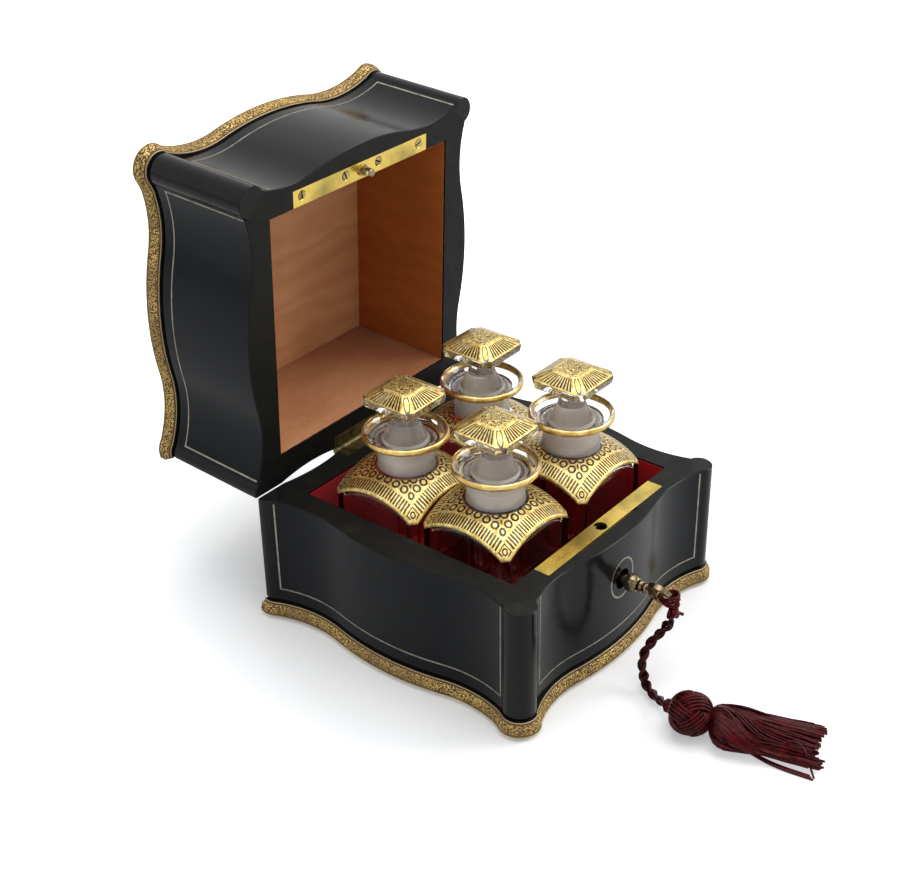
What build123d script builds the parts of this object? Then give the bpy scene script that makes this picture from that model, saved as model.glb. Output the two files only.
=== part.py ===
"""A perfume casket: a serpentine ebonised box with a hinged lid, four gilt scent bottles and a tasselled key.

Millimetres. The origin is the middle of the underside, +Z is up and -Y is the front, where the lock is.
The case is modelled as it stands open: the lid is built closed and then swung back about its hinge.
"""
from build123d import *
import math
import os

os.makedirs("parts", exist_ok=True)

# Plan of the case: each side is a bulge between two hollows, between round corner columns
BULGE_OUT = 64.1
WAIST_OUT = 59.7
WAIST_AT = 37.5
WAIST_RADIUS = 52.0
MITRE_AT = 59.4
SIDE_END = 58.6
WALL_INNER = 50.0

# Corner columns: centre and radius. The front left one is the boldest. Each is cut off behind its centre
COLUMNS = {
    "front_left": (-58.3, -59.2, 6.3),
    "front_right": (60.4, -59.3, 5.4),
    "back_left": (-59.4, 61.0, 5.5),
    "back_right": (60.4, 61.0, 5.5),
}
COLUMN_SINK = 2.4

# The back is shallower, and planed flat where the hinge sits and behind the columns
BACK_OUT = 62.6
BACK_WAIST_OUT = 61.0
BACK_WAIST_FROM = 17.5
BACK_WAIST_TO = 48.5

# Heights of the case
BOARD_TOP = 9.0
RIM = 55.0
BOARD_INSET = 0.8
MOULDING_LOW = 1.5
MOULDING_HIGH = 7.5
MOULDING_OUT = 2.1
MOULDING_EASE = 12.0
RIM_CHAMFER = 0.35

# Heights of the lid, as it stands closed
LID_GAP = 0.15
LID_LOW = RIM + LID_GAP
LID_TOP = 108.3
LID_WALL_TOP = 100.4
LID_HOLLOW_TOP = 103.1
LID_MOULDING_DROP = 0.4

# Linings
WELL_LINING = 0.6
SILK = 0.8
LINING_SHY = 0.6

# Stringing
STRING_WIDTH = 0.6
STRING_DEPTH = 0.45
STRING_PROUD = 0.03
STRING_SLACK = 0.02
STRING_ENDS = {
    "front": (-51.8, 55.5),
    "right": (-53.6, 55.3),
    "back": (-53.1, 53.1),
    "left": (-55.9, 53.4),
}
STRING_LOW = 14.2
STRING_RIM_MARGIN = 0.8
LID_STRING_ABOVE_RIM = 40.6

# Hinge
HINGE_Y = 62.9
HINGE_Z = 54.4
OPEN_ANGLE = 87.7
HINGE_HALF = 19.4
KNUCKLES = 5
KNUCKLE_RADIUS = 1.7
KNUCKLE_GAP = 0.2
PIN_RADIUS = 0.8
PIN_CLEARANCE = 0.05
TROUGH_RADIUS = 1.95
LEAF_THICKNESS = 1.0
LEAF_FRONT = 56.2
LEAF_BACK = 61.0
HINGE_SCREW_AT = 13.5
HINGE_SCREW_Y = 58.6

# Lock, link plate and catch
LOCK_PLATE_HALF = 37.6
LOCK_PLATE_FRONT = 56.6
LOCK_PLATE_THICKNESS = 1.6
LINK_PLATE_THICKNESS = 1.4
CATCH_Y = -53.3
CATCH_HOLE_RADIUS = 2.6
CATCH_RADIUS = 1.6
CATCH_FLANGE_RADIUS = 2.3
CATCH_LENGTH = 5.2
CATCH_EYE = 1.9
LINK_SCREWS = (-33.0, -9.3, 9.3, 33.0)
LINK_SCREW_Y = -53.8
LOCK_HALF = 19.0
LOCK_FRONT = -57.5
LOCK_LOW = 29.0
LOCK_SHEET = 1.0
KEY_Z = 35.6
KEYHOLE_RADIUS = 4.2
DRILL_PIN_RADIUS = 1.1
DRILL_PIN_TIP = -59.0
RING_WIDE = 15.0
RING_HIGH = 17.4
RING_Z = 36.1
RING_LINE = 0.7

# Bolt: a plate with a head that enters the catch's eye and a notch that the key's bit drives
BOLT_TRAVEL = 3.6
BOLT_THICKNESS = 1.6
BOLT_HEAD_HEIGHT = 1.5
BOLT_HEAD_Z = 51.75
BOLT_TIP = -1.9
BOLT_NECK = -6.0
BOLT_BACK = -13.0

# Key
BIT_ANGLE = 30.0
KEY_TIP = -52.0
SHANK_RADIUS = 2.2
BIT_REACH = 3.9
BIT_WIDTH = 1.4
BIT_LENGTH = 3.2
BOW_START = -75.2
BOW_END = -86.4
BOW_WIDE = 13.0
BOW_THICK = 2.0
BOW_RIM = 1.7

# Bottles
BOTTLE_HALF = 20.4
BOTTLE_CHAMFER = 2.4
BOTTLE_FLOOR = 4.0
BOTTLE_WALL = 2.8
BOTTLE_FOOT = BOARD_TOP + 0.6 + 0.05
DOME_RADIUS = 36.5
DOME_CENTRE = 32.5
NECK_FOOT = 66.0
NECK_RADIUS = 11.7
NECK_TOP = 77.4
LIP_RADIUS = 16.9
LIP_LOW = 80.2
LIP_HIGH = 82.6
LIP_TOP = 83.0
DISH_RADIUS = 15.4
DISH_FLOOR = 79.3
MOUTH_RADIUS = 9.2
BORE_FOOT = 64.0
BORE_RADIUS = 8.6
BOTTLE_PLACES = {
    "front_left": (-23.4, -21.8),
    "front_right": (25.0, -21.8),
    "back_left": (-25.0, 20.2),
    "back_right": (24.7, 22.0),
}

# Stoppers
PLUG_CLEARANCE = 0.06
PLUG_FOOT = 67.5
SHANK_TOP = 90.6
STOPPER_SHANK = 5.2
HEAD_SECTIONS = (
    (90.6, 5.4, 1.6),
    (95.0, 12.1, 3.1),
    (97.8, 12.7, 3.3),
    (101.4, 5.9, 1.6),
)

# Cord and tassel, lying on the table to the front of the key
CORD_RADIUS = 1.6
CORD_ROUTE = (
    (0.9, -87.4, 26.8),
    (-3.7, -82.6, 20.2),
    (-8.4, -79.7, 12.4),
    (-12.4, -83.0, 4.6),
    (-16.2, -89.6, 1.8),
    (-20.5, -96.5, 3.6),
    (-22.4, -102.4, 6.4),
)
BALL_CENTRE = (-23.2, -110.0, 9.2)
BALL_RADIUS = 9.0
SKIRT_YAW = -64.0
SKIRT_LENGTH = 41.0
SKIRT_SECTIONS = (
    (0.0, 4.6, 4.4, 7.0),
    (4.0, 8.0, 5.6, 5.8),
    (16.0, 9.6, 4.8, 4.9),
    (30.0, 12.2, 3.8, 3.9),
    (41.0, 14.2, 2.9, 3.0),
)
LOOP_CENTRE = (0.0, -84.7, KEY_Z)
LOOP_RADIUS = 3.3
LOOP_CORD = 0.95
KNOT_CENTRE = (0.6, -88.0, 31.0)
KNOT_RADIUS = 2.6

# The bulge's radius is the one that runs on into the hollow without a corner
DROP = BULGE_OUT - WAIST_OUT
BULGE_RADIUS = (WAIST_AT ** 2 + DROP ** 2) / (2 * DROP) - WAIST_RADIUS


def write(name, shape):
    """Writes one piece as its own file."""
    shape.label = name
    export_step(shape, f"parts/{name}.step")


def opened(shape):
    """Swings a lid piece from closed to where it stands open."""
    return Pos(0, HINGE_Y, HINGE_Z) * Rot(-OPEN_ANGLE, 0, 0) * Pos(0, -HINGE_Y, -HINGE_Z) * shape


def group(shapes):
    """Several solids that make one piece, or one set of like pieces."""
    return Compound(children=[solid for shape in shapes for solid in shape.solids()])


def block(x0, x1, y0, y1, z0, z1):
    """A box between two corners."""
    return Pos((x0 + x1) / 2, (y0 + y1) / 2, (z0 + z1) / 2) * Box(x1 - x0, y1 - y0, z1 - z0)


def rod(start, end, radius):
    """A round bar between two points."""
    axis = Vector(*end) - Vector(*start)
    return extrude(Plane(origin=start, z_dir=axis) * Circle(radius), amount=axis.length)


def prism(sketch, low, high):
    """A plan carried straight up from one height to another."""
    return extrude(Pos(0, 0, low) * sketch, amount=high - low, dir=(0, 0, 1))


# Plan of the case

SIDES = {
    "front": lambda t, out: (t, -out),
    "right": lambda t, out: (out, t),
    "back": lambda t, out: (-t, out),
    "left": lambda t, out: (-out, -t),
}


def side_out(t, grow=0.0):
    """How far a serpentine side stands out from the centre, t along it from its middle."""
    t = abs(t)
    if t < bend_at(grow):
        return BULGE_OUT - BULGE_RADIUS + math.sqrt((BULGE_RADIUS + grow) ** 2 - t ** 2)
    return WAIST_OUT + WAIST_RADIUS - math.sqrt((WAIST_RADIUS - grow) ** 2 - (t - WAIST_AT) ** 2)


def bend_at(grow):
    """Where the bulge turns into the hollow."""
    return WAIST_AT * (BULGE_RADIUS + grow) / (BULGE_RADIUS + WAIST_RADIUS)


def serpentine(grow, place):
    """The outer line of the front, left or right: hollow, bulge, hollow."""
    bend = bend_at(grow)
    stops = (-SIDE_END, -WAIST_AT, -bend, 0, bend, WAIST_AT, SIDE_END)
    points = [place(t, side_out(t, grow)) for t in stops]
    return [ThreePointArc(*points[0:3]), ThreePointArc(*points[2:5]), ThreePointArc(*points[4:7])], points


def planed_back(grow, place):
    """The outer line of the back: flat, shallow hollow, flat, shallow hollow, flat."""
    flat = BACK_OUT + grow
    hollow = BACK_WAIST_OUT + grow
    middle = (BACK_WAIST_FROM + BACK_WAIST_TO) / 2
    stops = ((-SIDE_END, flat), (-BACK_WAIST_TO, flat), (-middle, hollow), (-BACK_WAIST_FROM, flat),
             (BACK_WAIST_FROM, flat), (middle, hollow), (BACK_WAIST_TO, flat), (SIDE_END, flat))
    points = [place(*stop) for stop in stops]
    edges = [
        Line(points[0], points[1]),
        ThreePointArc(*points[1:4]),
        Line(points[3], points[4]),
        ThreePointArc(*points[4:7]),
        Line(points[6], points[7]),
    ]
    return edges, points


def side_plan(name, grow=0.0):
    """One side with everything behind it, back to the middle of the case."""
    place = SIDES[name]
    edges, points = planed_back(grow, place) if name == "back" else serpentine(grow, place)
    near, far = place(-MITRE_AT, MITRE_AT), place(MITRE_AT, MITRE_AT)
    edges += [Line(points[-1], far), Line(far, (0, 0)), Line((0, 0), near), Line(near, points[0])]
    return make_face(edges)


def column_plan(grow=0.0):
    """The four corner columns, cut off behind their centres, with the back pair planed."""
    reach = 2 * BULGE_OUT
    plan = Sketch()
    for x, y, radius in COLUMNS.values():
        turn = math.degrees(math.atan2(math.copysign(1, y), math.copysign(1, x)))
        kept = Pos(x, y) * Rot(0, 0, turn) * Pos(reach - COLUMN_SINK, 0) * Rectangle(2 * reach, 2 * reach)
        plan += (Pos(x, y) * Circle(radius + grow)) & kept
    return plan & Pos(0, BACK_OUT + grow - reach) * Rectangle(2 * reach, 2 * reach)


def case_plan(grow=0.0):
    """The whole outline, with the creases beside the columns eased as the mouldings have them."""
    plan = column_plan(grow)
    for name in SIDES:
        plan += side_plan(name, grow)
    creases = [
        v for v in plan.vertices()
        if v.Y < BACK_OUT - 1
        and any(abs(math.hypot(v.X - x, v.Y - y) - radius - grow) < 0.01 for x, y, radius in COLUMNS.values())
    ]
    return fillet(creases, MOULDING_EASE)


def wall(name, low, high):
    """One wall: serpentine outside, flat inside, mitred, and coved round the columns."""
    plan = side_plan(name) - Rectangle(2 * WALL_INNER, 2 * WALL_INNER) - column_plan()
    return prism(plan, low, high)


def columns(low, high, rim):
    """The four corner columns, their outer edge chamfered at the rim."""
    posts = prism(column_plan(), low, high)
    arrises = [e for e in posts.edges() if abs(e.center().Z - rim) < 0.01 and e.geom_type == GeomType.CIRCLE]
    return chamfer(arrises, RIM_CHAMFER)


def chamfer_rim(shape, rim):
    """Takes the sharp edge off the outside of a wall at the rim."""
    arrises = [
        e for e in shape.edges()
        if abs(e.center().Z - rim) < 0.01
        and max(abs(e.center().X), abs(e.center().Y)) > WALL_INNER + 6
        and e.length > 20
    ]
    return chamfer(arrises, RIM_CHAMFER)


# Mouldings

def moulding_ring():
    """The pressed gilt moulding: a listel above an ovolo that swells outwards and down to a thin bead."""
    height = MOULDING_HIGH - MOULDING_LOW
    foot = BOARD_INSET + MOULDING_OUT
    crown = BOARD_INSET + 0.8
    section = make_face([
        Line((0, 0), (foot - 0.3, 0)),
        Line((foot - 0.3, 0), (foot, 0.35)),
        Line((foot, 0.35), (foot, 0.9)),
        ThreePointArc((foot, 0.9), (foot - 0.3, 0.58 * height), (crown, height - 0.7)),
        Line((crown, height - 0.7), (crown - 0.15, height - 0.5)),
        Line((crown - 0.15, height - 0.5), (crown - 0.15, height)),
        Line((crown - 0.15, height), (0, height)),
        Line((0, height), (0, 0)),
    ])
    rail = (Pos(0, 0, MOULDING_LOW) * case_plan(-BOARD_INSET)).faces()[0].outer_wire()
    along = rail % 0
    outward = along.cross(Vector(0, 0, 1))
    if outward.dot(rail @ 0) < 0:
        outward = -outward
    start = Plane(origin=rail @ 0, x_dir=outward, z_dir=outward.cross(Vector(0, 0, 1)))
    return sweep(start * section, path=rail, transition=Transition.RIGHT)


def moulding_lengths(ring):
    """Cuts a moulding ring into its four mitred lengths."""
    reach = 2 * BULGE_OUT
    lengths = {}
    for name, place in SIDES.items():
        wedge = make_face(Polyline((0, 0), place(-reach, reach), place(reach, reach), (0, 0)))
        lengths[name] = ring & prism(wedge, -1, LID_TOP)
    return lengths


# Stringing

def stringing(name, line_z, tip_z, slack=0.0):
    """The inlaid line of one side: one along the moulding and two beside the columns. Slack makes its groove."""
    place = SIDES[name]
    first, last = STRING_ENDS[name]
    across = STRING_WIDTH / 2 + slack

    def strip(start, end):
        x0, y0 = place(start, BULGE_OUT / 2)
        x1, y1 = place(end, 2 * BULGE_OUT)
        return Pos((x0 + x1) / 2, (y0 + y1) / 2) * Rectangle(abs(x1 - x0), abs(y1 - y0))

    def band(grow, low, high, margin):
        edges, points = planed_back(grow, place) if name == "back" else serpentine(grow, place)
        plan = make_face(edges + [Line(points[-1], (0, 0)), Line((0, 0), points[0])])
        return prism(plan & strip(first - margin, last + margin), low, high)

    low, high = line_z - across, line_z + across
    z0, z1 = min(low, tip_z - slack), max(high, tip_z + slack)
    skin = band(STRING_PROUD + slack, z0, z1, across) - band(-STRING_DEPTH - slack, z0 - 1, z1 + 1, across + 1)
    window_low, window_high = (high, z1 + 1) if tip_z > line_z else (z0 - 1, low)
    return skin - prism(strip(first + across, last - across), window_low, window_high)


# Screws

def screw(x, y, z, head, length, up=1):
    """A countersunk screw with its slotted face at z, pointing down, or up where up is -1."""
    shank = head / 2
    profile = make_face(Polyline((0, 0), (head, 0), (shank, -head / 2), (shank, -length + shank),
                                 (0, -length), (0, 0)))
    body = revolve(Plane.XZ * profile, axis=Axis.Z)
    slot = Box(2.2 * head, 0.35, 0.7)
    body = Rot(0, 0, 25 + 40 * math.sin(x)) * (body - slot)
    turn = Rot(180, 0, 0) if up < 0 else Rot(0, 0, 0)
    return Pos(x, y, z) * turn * body


def screw_hole(x, y, z, head, length, up=1):
    """The hole that such a screw fills."""
    shank = head / 2
    profile = make_face(Polyline((0, 0), (head, 0), (shank, -head / 2), (shank, -length + shank),
                                 (0, -length), (0, 0)))
    turn = Rot(180, 0, 0) if up < 0 else Rot(0, 0, 0)
    return Pos(x, y, z) * turn * revolve(Plane.XZ * profile, axis=Axis.Z)


# Hinge

def hinge_barrel(which):
    """The knuckles of one leaf: 0 takes the odd ones and 1 the even ones."""
    step = 2 * HINGE_HALF / KNUCKLES
    spans = []
    for k in range(KNUCKLES):
        if k % 2 == which:
            x0 = -HINGE_HALF + k * step + (KNUCKLE_GAP / 2 if k else 0)
            x1 = -HINGE_HALF + (k + 1) * step - (KNUCKLE_GAP / 2 if k < KNUCKLES - 1 else 0)
            spans.append((x0, x1))
    return spans


def hinge_leaf(which):
    """A leaf let into its rim and wrapped round the pin. Leaf 0 is on the case and leaf 1 on the lid."""
    if which == 0:
        low, high = RIM - LEAF_THICKNESS, RIM
        bore = PIN_RADIUS
    else:
        low, high = LID_LOW, LID_LOW + LEAF_THICKNESS
        bore = PIN_RADIUS + PIN_CLEARANCE
    leaf = block(-HINGE_HALF, HINGE_HALF, LEAF_FRONT, LEAF_BACK, low, high)
    for x0, x1 in hinge_barrel(which):
        leaf += rod((x0, HINGE_Y, HINGE_Z), (x1, HINGE_Y, HINGE_Z), KNUCKLE_RADIUS)
        leaf += block(x0, x1, LEAF_BACK, HINGE_Y - 0.6, low, high)
    leaf -= rod((-HINGE_HALF - 1, HINGE_Y, HINGE_Z), (HINGE_HALF + 1, HINGE_Y, HINGE_Z), bore)
    return leaf


HINGE_SCREW = (1.5, 6.5)
LINK_SCREW = (2.0, 7.0)

hinge_trough = rod((-HINGE_HALF - 0.2, HINGE_Y, HINGE_Z), (HINGE_HALF + 0.2, HINGE_Y, HINGE_Z), TROUGH_RADIUS)
case_leaf_seat = block(-HINGE_HALF, HINGE_HALF, LEAF_FRONT, HINGE_Y, RIM - LEAF_THICKNESS, RIM + 1)
lid_leaf_seat = block(-HINGE_HALF, HINGE_HALF, LEAF_FRONT, HINGE_Y, LID_LOW - 1, LID_LOW + LEAF_THICKNESS)

case_leaf = hinge_leaf(0)
lid_leaf = hinge_leaf(1)
case_hinge_holes = []
lid_hinge_holes = []
case_hinge_screws = []
lid_hinge_screws = []
for x in (-HINGE_SCREW_AT, HINGE_SCREW_AT):
    case_hinge_holes.append(screw_hole(x, HINGE_SCREW_Y, RIM, *HINGE_SCREW))
    case_hinge_screws.append(screw(x, HINGE_SCREW_Y, RIM, *HINGE_SCREW))
    lid_hinge_holes.append(screw_hole(x, HINGE_SCREW_Y, LID_LOW, *HINGE_SCREW, up=-1))
    lid_hinge_screws.append(screw(x, HINGE_SCREW_Y, LID_LOW, *HINGE_SCREW, up=-1))
for hole in case_hinge_holes:
    case_leaf -= hole
for hole in lid_hinge_holes:
    lid_leaf -= hole
write("hinge_leaf_case", case_leaf)
write("hinge_leaf_lid", opened(lid_leaf))
write("hinge_screws_case", group(case_hinge_screws))
write("hinge_screws_lid", group(opened(shape) for shape in lid_hinge_screws))
write("hinge_pin", rod((-HINGE_HALF, HINGE_Y, HINGE_Z), (HINGE_HALF, HINGE_Y, HINGE_Z), PIN_RADIUS))

# Case

base_string = {name: stringing(name, STRING_LOW, RIM - STRING_RIM_MARGIN) for name in SIDES}
lid_string_z = LID_LOW + LID_STRING_ABOVE_RIM
lid_string = {name: stringing(name, lid_string_z, LID_LOW + STRING_RIM_MARGIN) for name in SIDES}
base_groove = {name: stringing(name, STRING_LOW, RIM - STRING_RIM_MARGIN, STRING_SLACK) for name in SIDES}
lid_groove = {name: stringing(name, lid_string_z, LID_LOW + STRING_RIM_MARGIN, STRING_SLACK) for name in SIDES}

lock_plate_seat = block(-LOCK_PLATE_HALF, LOCK_PLATE_HALF, -LOCK_PLATE_FRONT, -WALL_INNER + 1,
                        RIM - LOCK_PLATE_THICKNESS, RIM + 1)
lock_seat = block(-LOCK_HALF, LOCK_HALF, LOCK_FRONT, -WALL_INNER + 1, LOCK_LOW, RIM)
keyhole = rod((0, -BULGE_OUT - 1, KEY_Z), (0, LOCK_FRONT - 1 + 2 * LOCK_SHEET, KEY_Z), KEYHOLE_RADIUS)
ring_outer = prism(Ellipse(RING_WIDE / 2, RING_HIGH / 2), 0, 10) - prism(
    Ellipse(RING_WIDE / 2 - RING_LINE, RING_HIGH / 2 - RING_LINE), -1, 11)
ring_blank = Pos(0, -BULGE_OUT + 5, RING_Z) * Rot(90, 0, 0) * ring_outer
front_skin = prism(side_plan("front", STRING_PROUD), LOCK_LOW - 5, RIM) - prism(
    side_plan("front", -STRING_DEPTH), LOCK_LOW - 6, RIM + 1)
keyhole_ring = ring_blank & front_skin

for name in SIDES:
    piece = chamfer_rim(wall(name, BOARD_TOP, RIM), RIM)
    piece -= base_groove[name]
    if name == "front":
        piece = piece - lock_plate_seat - lock_seat - keyhole - keyhole_ring
    if name == "back":
        piece = piece - hinge_trough - case_leaf_seat
        for hole in case_hinge_holes:
            piece -= hole
    write(f"base_wall_{name}", piece)
write("base_columns", columns(BOARD_TOP, RIM, RIM))
write("base_stringing", group(base_string.values()))
write("keyhole_ring", keyhole_ring)

bottom_board = prism(case_plan(-BOARD_INSET), 0, BOARD_TOP)
write("bottom_board", bottom_board)
ring = moulding_ring()
for name, length in moulding_lengths(ring).items():
    write(f"plinth_moulding_{name}", length)

# Well lining: the side panels stop just under the rim
inner = WALL_INNER
floor_top = BOARD_TOP + WELL_LINING
write("well_floor_pad", block(-inner, inner, -inner, inner, BOARD_TOP, floor_top))
lining_top = RIM - LINING_SHY
lock_face = RIM - LOCK_PLATE_THICKNESS
panel_long = block(-inner, inner, inner - WELL_LINING, inner, floor_top, lining_top)
panel_front = block(-inner, inner, -inner, -inner + WELL_LINING, floor_top, lining_top)
short = inner - WELL_LINING
write("well_lining_back", panel_long)
write("well_lining_front", panel_front)
write("well_lining_left", block(-inner, -short, -short, short, floor_top, lining_top))
write("well_lining_right", block(short, inner, -short, short, floor_top, lining_top))

# Lock
lock_plate = block(-LOCK_PLATE_HALF, LOCK_PLATE_HALF, -LOCK_PLATE_FRONT, -inner, lock_face, RIM)
lock_plate -= rod((0, CATCH_Y, lock_face - 1), (0, CATCH_Y, RIM + 1), CATCH_HOLE_RADIUS)
write("lock_plate", lock_plate)

lock_case = block(-LOCK_HALF, LOCK_HALF, LOCK_FRONT, -inner, LOCK_LOW, lock_face)
lock_case -= block(-LOCK_HALF + LOCK_SHEET, LOCK_HALF - LOCK_SHEET, LOCK_FRONT + LOCK_SHEET,
                   -inner - LOCK_SHEET, LOCK_LOW + LOCK_SHEET, RIM)
lock_case -= keyhole
write("lock_case", lock_case)
write("lock_drill_pin", rod((0, -inner - LOCK_SHEET, KEY_Z), (0, DRILL_PIN_TIP, KEY_Z), DRILL_PIN_RADIUS))

bolt_y0, bolt_y1 = CATCH_Y - BOLT_THICKNESS / 2, CATCH_Y + BOLT_THICKNESS / 2
bolt_foot = KEY_Z + SHANK_RADIUS + 0.25
bolt_head_low = BOLT_HEAD_Z - BOLT_HEAD_HEIGHT / 2
bolt = block(BOLT_BACK, BOLT_NECK, bolt_y0, bolt_y1, bolt_foot, BOLT_HEAD_Z + BOLT_HEAD_HEIGHT / 2)
bolt += block(BOLT_NECK - 1, BOLT_TIP, bolt_y0, bolt_y1, bolt_head_low, BOLT_HEAD_Z + BOLT_HEAD_HEIGHT / 2)
bolt += block(BOLT_NECK - 1, 3.0, bolt_y0, bolt_y1, bolt_foot, 44.0)
talon = -BOLT_TRAVEL / 2
bolt -= block(talon - 1.35, talon + 1.35, bolt_y0 - 1, bolt_y1 + 1, bolt_foot - 1, KEY_Z + BIT_REACH + 0.4)
write("lock_bolt", bolt)

# Lid, built closed and then opened

for name in SIDES:
    piece = chamfer_rim(wall(name, LID_LOW, LID_WALL_TOP), LID_LOW)
    piece -= lid_groove[name]
    if name == "front":
        piece -= block(-LOCK_PLATE_HALF, LOCK_PLATE_HALF, -LOCK_PLATE_FRONT, -inner + 1,
                       LID_LOW - 1, LID_LOW + LINK_PLATE_THICKNESS)
        for x in LINK_SCREWS:
            piece -= screw_hole(x, LINK_SCREW_Y, LID_LOW, *LINK_SCREW, up=-1)
    if name == "back":
        piece = piece - hinge_trough - lid_leaf_seat
        for hole in lid_hinge_holes:
            piece -= hole
    write(f"lid_wall_{name}", opened(piece))
write("lid_columns", opened(columns(LID_LOW, LID_WALL_TOP, LID_LOW)))
write("lid_stringing", group(opened(shape) for shape in lid_string.values()))

top_board = prism(case_plan(-BOARD_INSET), LID_WALL_TOP, LID_TOP)
top_board = chamfer(top_board.edges().group_by(Axis.Z)[-1], 0.6)
top_board -= block(-inner, inner, -inner, inner, LID_WALL_TOP - 1, LID_HOLLOW_TOP)
write("lid_top_board", opened(top_board))
lid_ring = Pos(0, 0, LID_TOP - LID_MOULDING_DROP + MOULDING_LOW) * mirror(ring, about=Plane.XY)
for name, length in moulding_lengths(lid_ring).items():
    write(f"lid_moulding_{name}", opened(length))

# Silk lining of the lid
silk_low = LID_LOW + LINING_SHY
silk_top = LID_HOLLOW_TOP - SILK
short = inner - SILK
write("silk_top", opened(block(-inner, inner, -inner, inner, silk_top, LID_HOLLOW_TOP)))
write("silk_front", opened(block(-inner, inner, -inner, -short, LID_LOW + LINK_PLATE_THICKNESS, silk_top)))
write("silk_back", opened(block(-inner, inner, short, inner, silk_low, silk_top)))
write("silk_left", opened(block(-inner, -short, -short, short, silk_low, silk_top)))
write("silk_right", opened(block(short, inner, -short, short, silk_low, silk_top)))

# Link plate and catch
link_high = LID_LOW + LINK_PLATE_THICKNESS
link_plate = block(-LOCK_PLATE_HALF, LOCK_PLATE_HALF, -LOCK_PLATE_FRONT, -inner, LID_LOW, link_high)
for x in LINK_SCREWS:
    link_plate -= screw_hole(x, LINK_SCREW_Y, LID_LOW, *LINK_SCREW, up=-1)
write("link_plate", opened(link_plate))
link_screws = [screw(x, LINK_SCREW_Y, LID_LOW, *LINK_SCREW, up=-1) for x in LINK_SCREWS]
write("link_plate_screws", group(opened(shape) for shape in link_screws))

catch_tip = LID_LOW - CATCH_LENGTH
catch = rod((0, CATCH_Y, LID_LOW), (0, CATCH_Y, catch_tip), CATCH_RADIUS)
catch = fillet(catch.edges().group_by(Axis.Z)[0], 0.6)
catch += rod((0, CATCH_Y, LID_LOW), (0, CATCH_Y, LID_LOW - 1.0), CATCH_FLANGE_RADIUS)
catch -= block(-3, 3, CATCH_Y - CATCH_EYE / 2, CATCH_Y + CATCH_EYE / 2,
               BOLT_HEAD_Z - CATCH_EYE / 2, BOLT_HEAD_Z + CATCH_EYE / 2)
write("catch_stud", opened(catch))


# Bottles

def glass_square(half, cut, low, high):
    """A square bar with its corners cut."""
    return prism(chamfer(Rectangle(2 * half, 2 * half).vertices(), cut), low, high)


def bottle():
    """A square bottle: domed shoulder cut to arches by its flat sides, ground neck, dished lip."""
    body = glass_square(BOTTLE_HALF, BOTTLE_CHAMFER, BOTTLE_FOOT, DOME_CENTRE + DOME_RADIUS)
    body &= Pos(0, 0, DOME_CENTRE) * Sphere(DOME_RADIUS)
    neck = make_face([
        Line((0, NECK_FOOT - 2), (NECK_RADIUS, NECK_FOOT - 2)),
        Line((NECK_RADIUS, NECK_FOOT - 2), (NECK_RADIUS, NECK_TOP)),
        ThreePointArc((NECK_RADIUS, NECK_TOP), (13.4, 79.5), (LIP_RADIUS - 0.4, LIP_LOW)),
        Line((LIP_RADIUS - 0.4, LIP_LOW), (LIP_RADIUS, LIP_LOW + 0.5)),
        Line((LIP_RADIUS, LIP_LOW + 0.5), (LIP_RADIUS, LIP_HIGH - 0.4)),
        Line((LIP_RADIUS, LIP_HIGH - 0.4), (LIP_RADIUS - 0.6, LIP_TOP)),
        Line((LIP_RADIUS - 0.6, LIP_TOP), (DISH_RADIUS, LIP_TOP)),
        ThreePointArc((DISH_RADIUS, LIP_TOP), (13.6, 80.7), (MOUTH_RADIUS + 1.2, DISH_FLOOR)),
        Line((MOUTH_RADIUS + 1.2, DISH_FLOOR), (0, DISH_FLOOR)),
        Line((0, DISH_FLOOR), (0, NECK_FOOT - 2)),
    ])
    body += revolve(Plane.XZ * neck, axis=Axis.Z)
    hollow = glass_square(BOTTLE_HALF - BOTTLE_WALL, BOTTLE_CHAMFER, BOTTLE_FOOT + BOTTLE_FLOOR, 70)
    hollow &= Pos(0, 0, DOME_CENTRE) * Sphere(DOME_RADIUS - BOTTLE_WALL - 0.6)
    bore = make_face(Polyline((0, 50), (BORE_RADIUS, 50), (BORE_RADIUS, BORE_FOOT),
                              (MOUTH_RADIUS, DISH_FLOOR), (MOUTH_RADIUS, DISH_FLOOR + 1), (0, DISH_FLOOR + 1), (0, 50)))
    return body - hollow - revolve(Plane.XZ * bore, axis=Axis.Z)


def stopper():
    """A ground plug, a bell-shaped shank and a square faceted head."""
    slope = (MOUTH_RADIUS - BORE_RADIUS) / (DISH_FLOOR - BORE_FOOT)
    foot_radius = BORE_RADIUS + slope * (PLUG_FOOT - BORE_FOOT) - PLUG_CLEARANCE
    top_radius = MOUTH_RADIUS - PLUG_CLEARANCE
    profile = make_face([
        Line((0, PLUG_FOOT), (foot_radius, PLUG_FOOT)),
        Line((foot_radius, PLUG_FOOT), (top_radius, DISH_FLOOR)),
        ThreePointArc((top_radius, DISH_FLOOR), (7.4, 82.6), (STOPPER_SHANK, 87.0)),
        Line((STOPPER_SHANK, 87.0), (STOPPER_SHANK, SHANK_TOP + 0.5)),
        Line((STOPPER_SHANK, SHANK_TOP + 0.5), (0, SHANK_TOP + 0.5)),
        Line((0, SHANK_TOP + 0.5), (0, PLUG_FOOT)),
    ])
    shape = revolve(Plane.XZ * profile, axis=Axis.Z)
    rings = [Pos(0, 0, z) * chamfer(Rectangle(2 * half, 2 * half).vertices(), cut) for z, half, cut in HEAD_SECTIONS]
    return shape + loft(rings, ruled=True)


the_bottle = bottle()
the_stopper = stopper()
for name, (x, y) in BOTTLE_PLACES.items():
    write(f"bottle_{name}", Pos(x, y, 0) * the_bottle)
    write(f"stopper_{name}", Pos(x, y, 0) * the_stopper)


# Key

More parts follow.
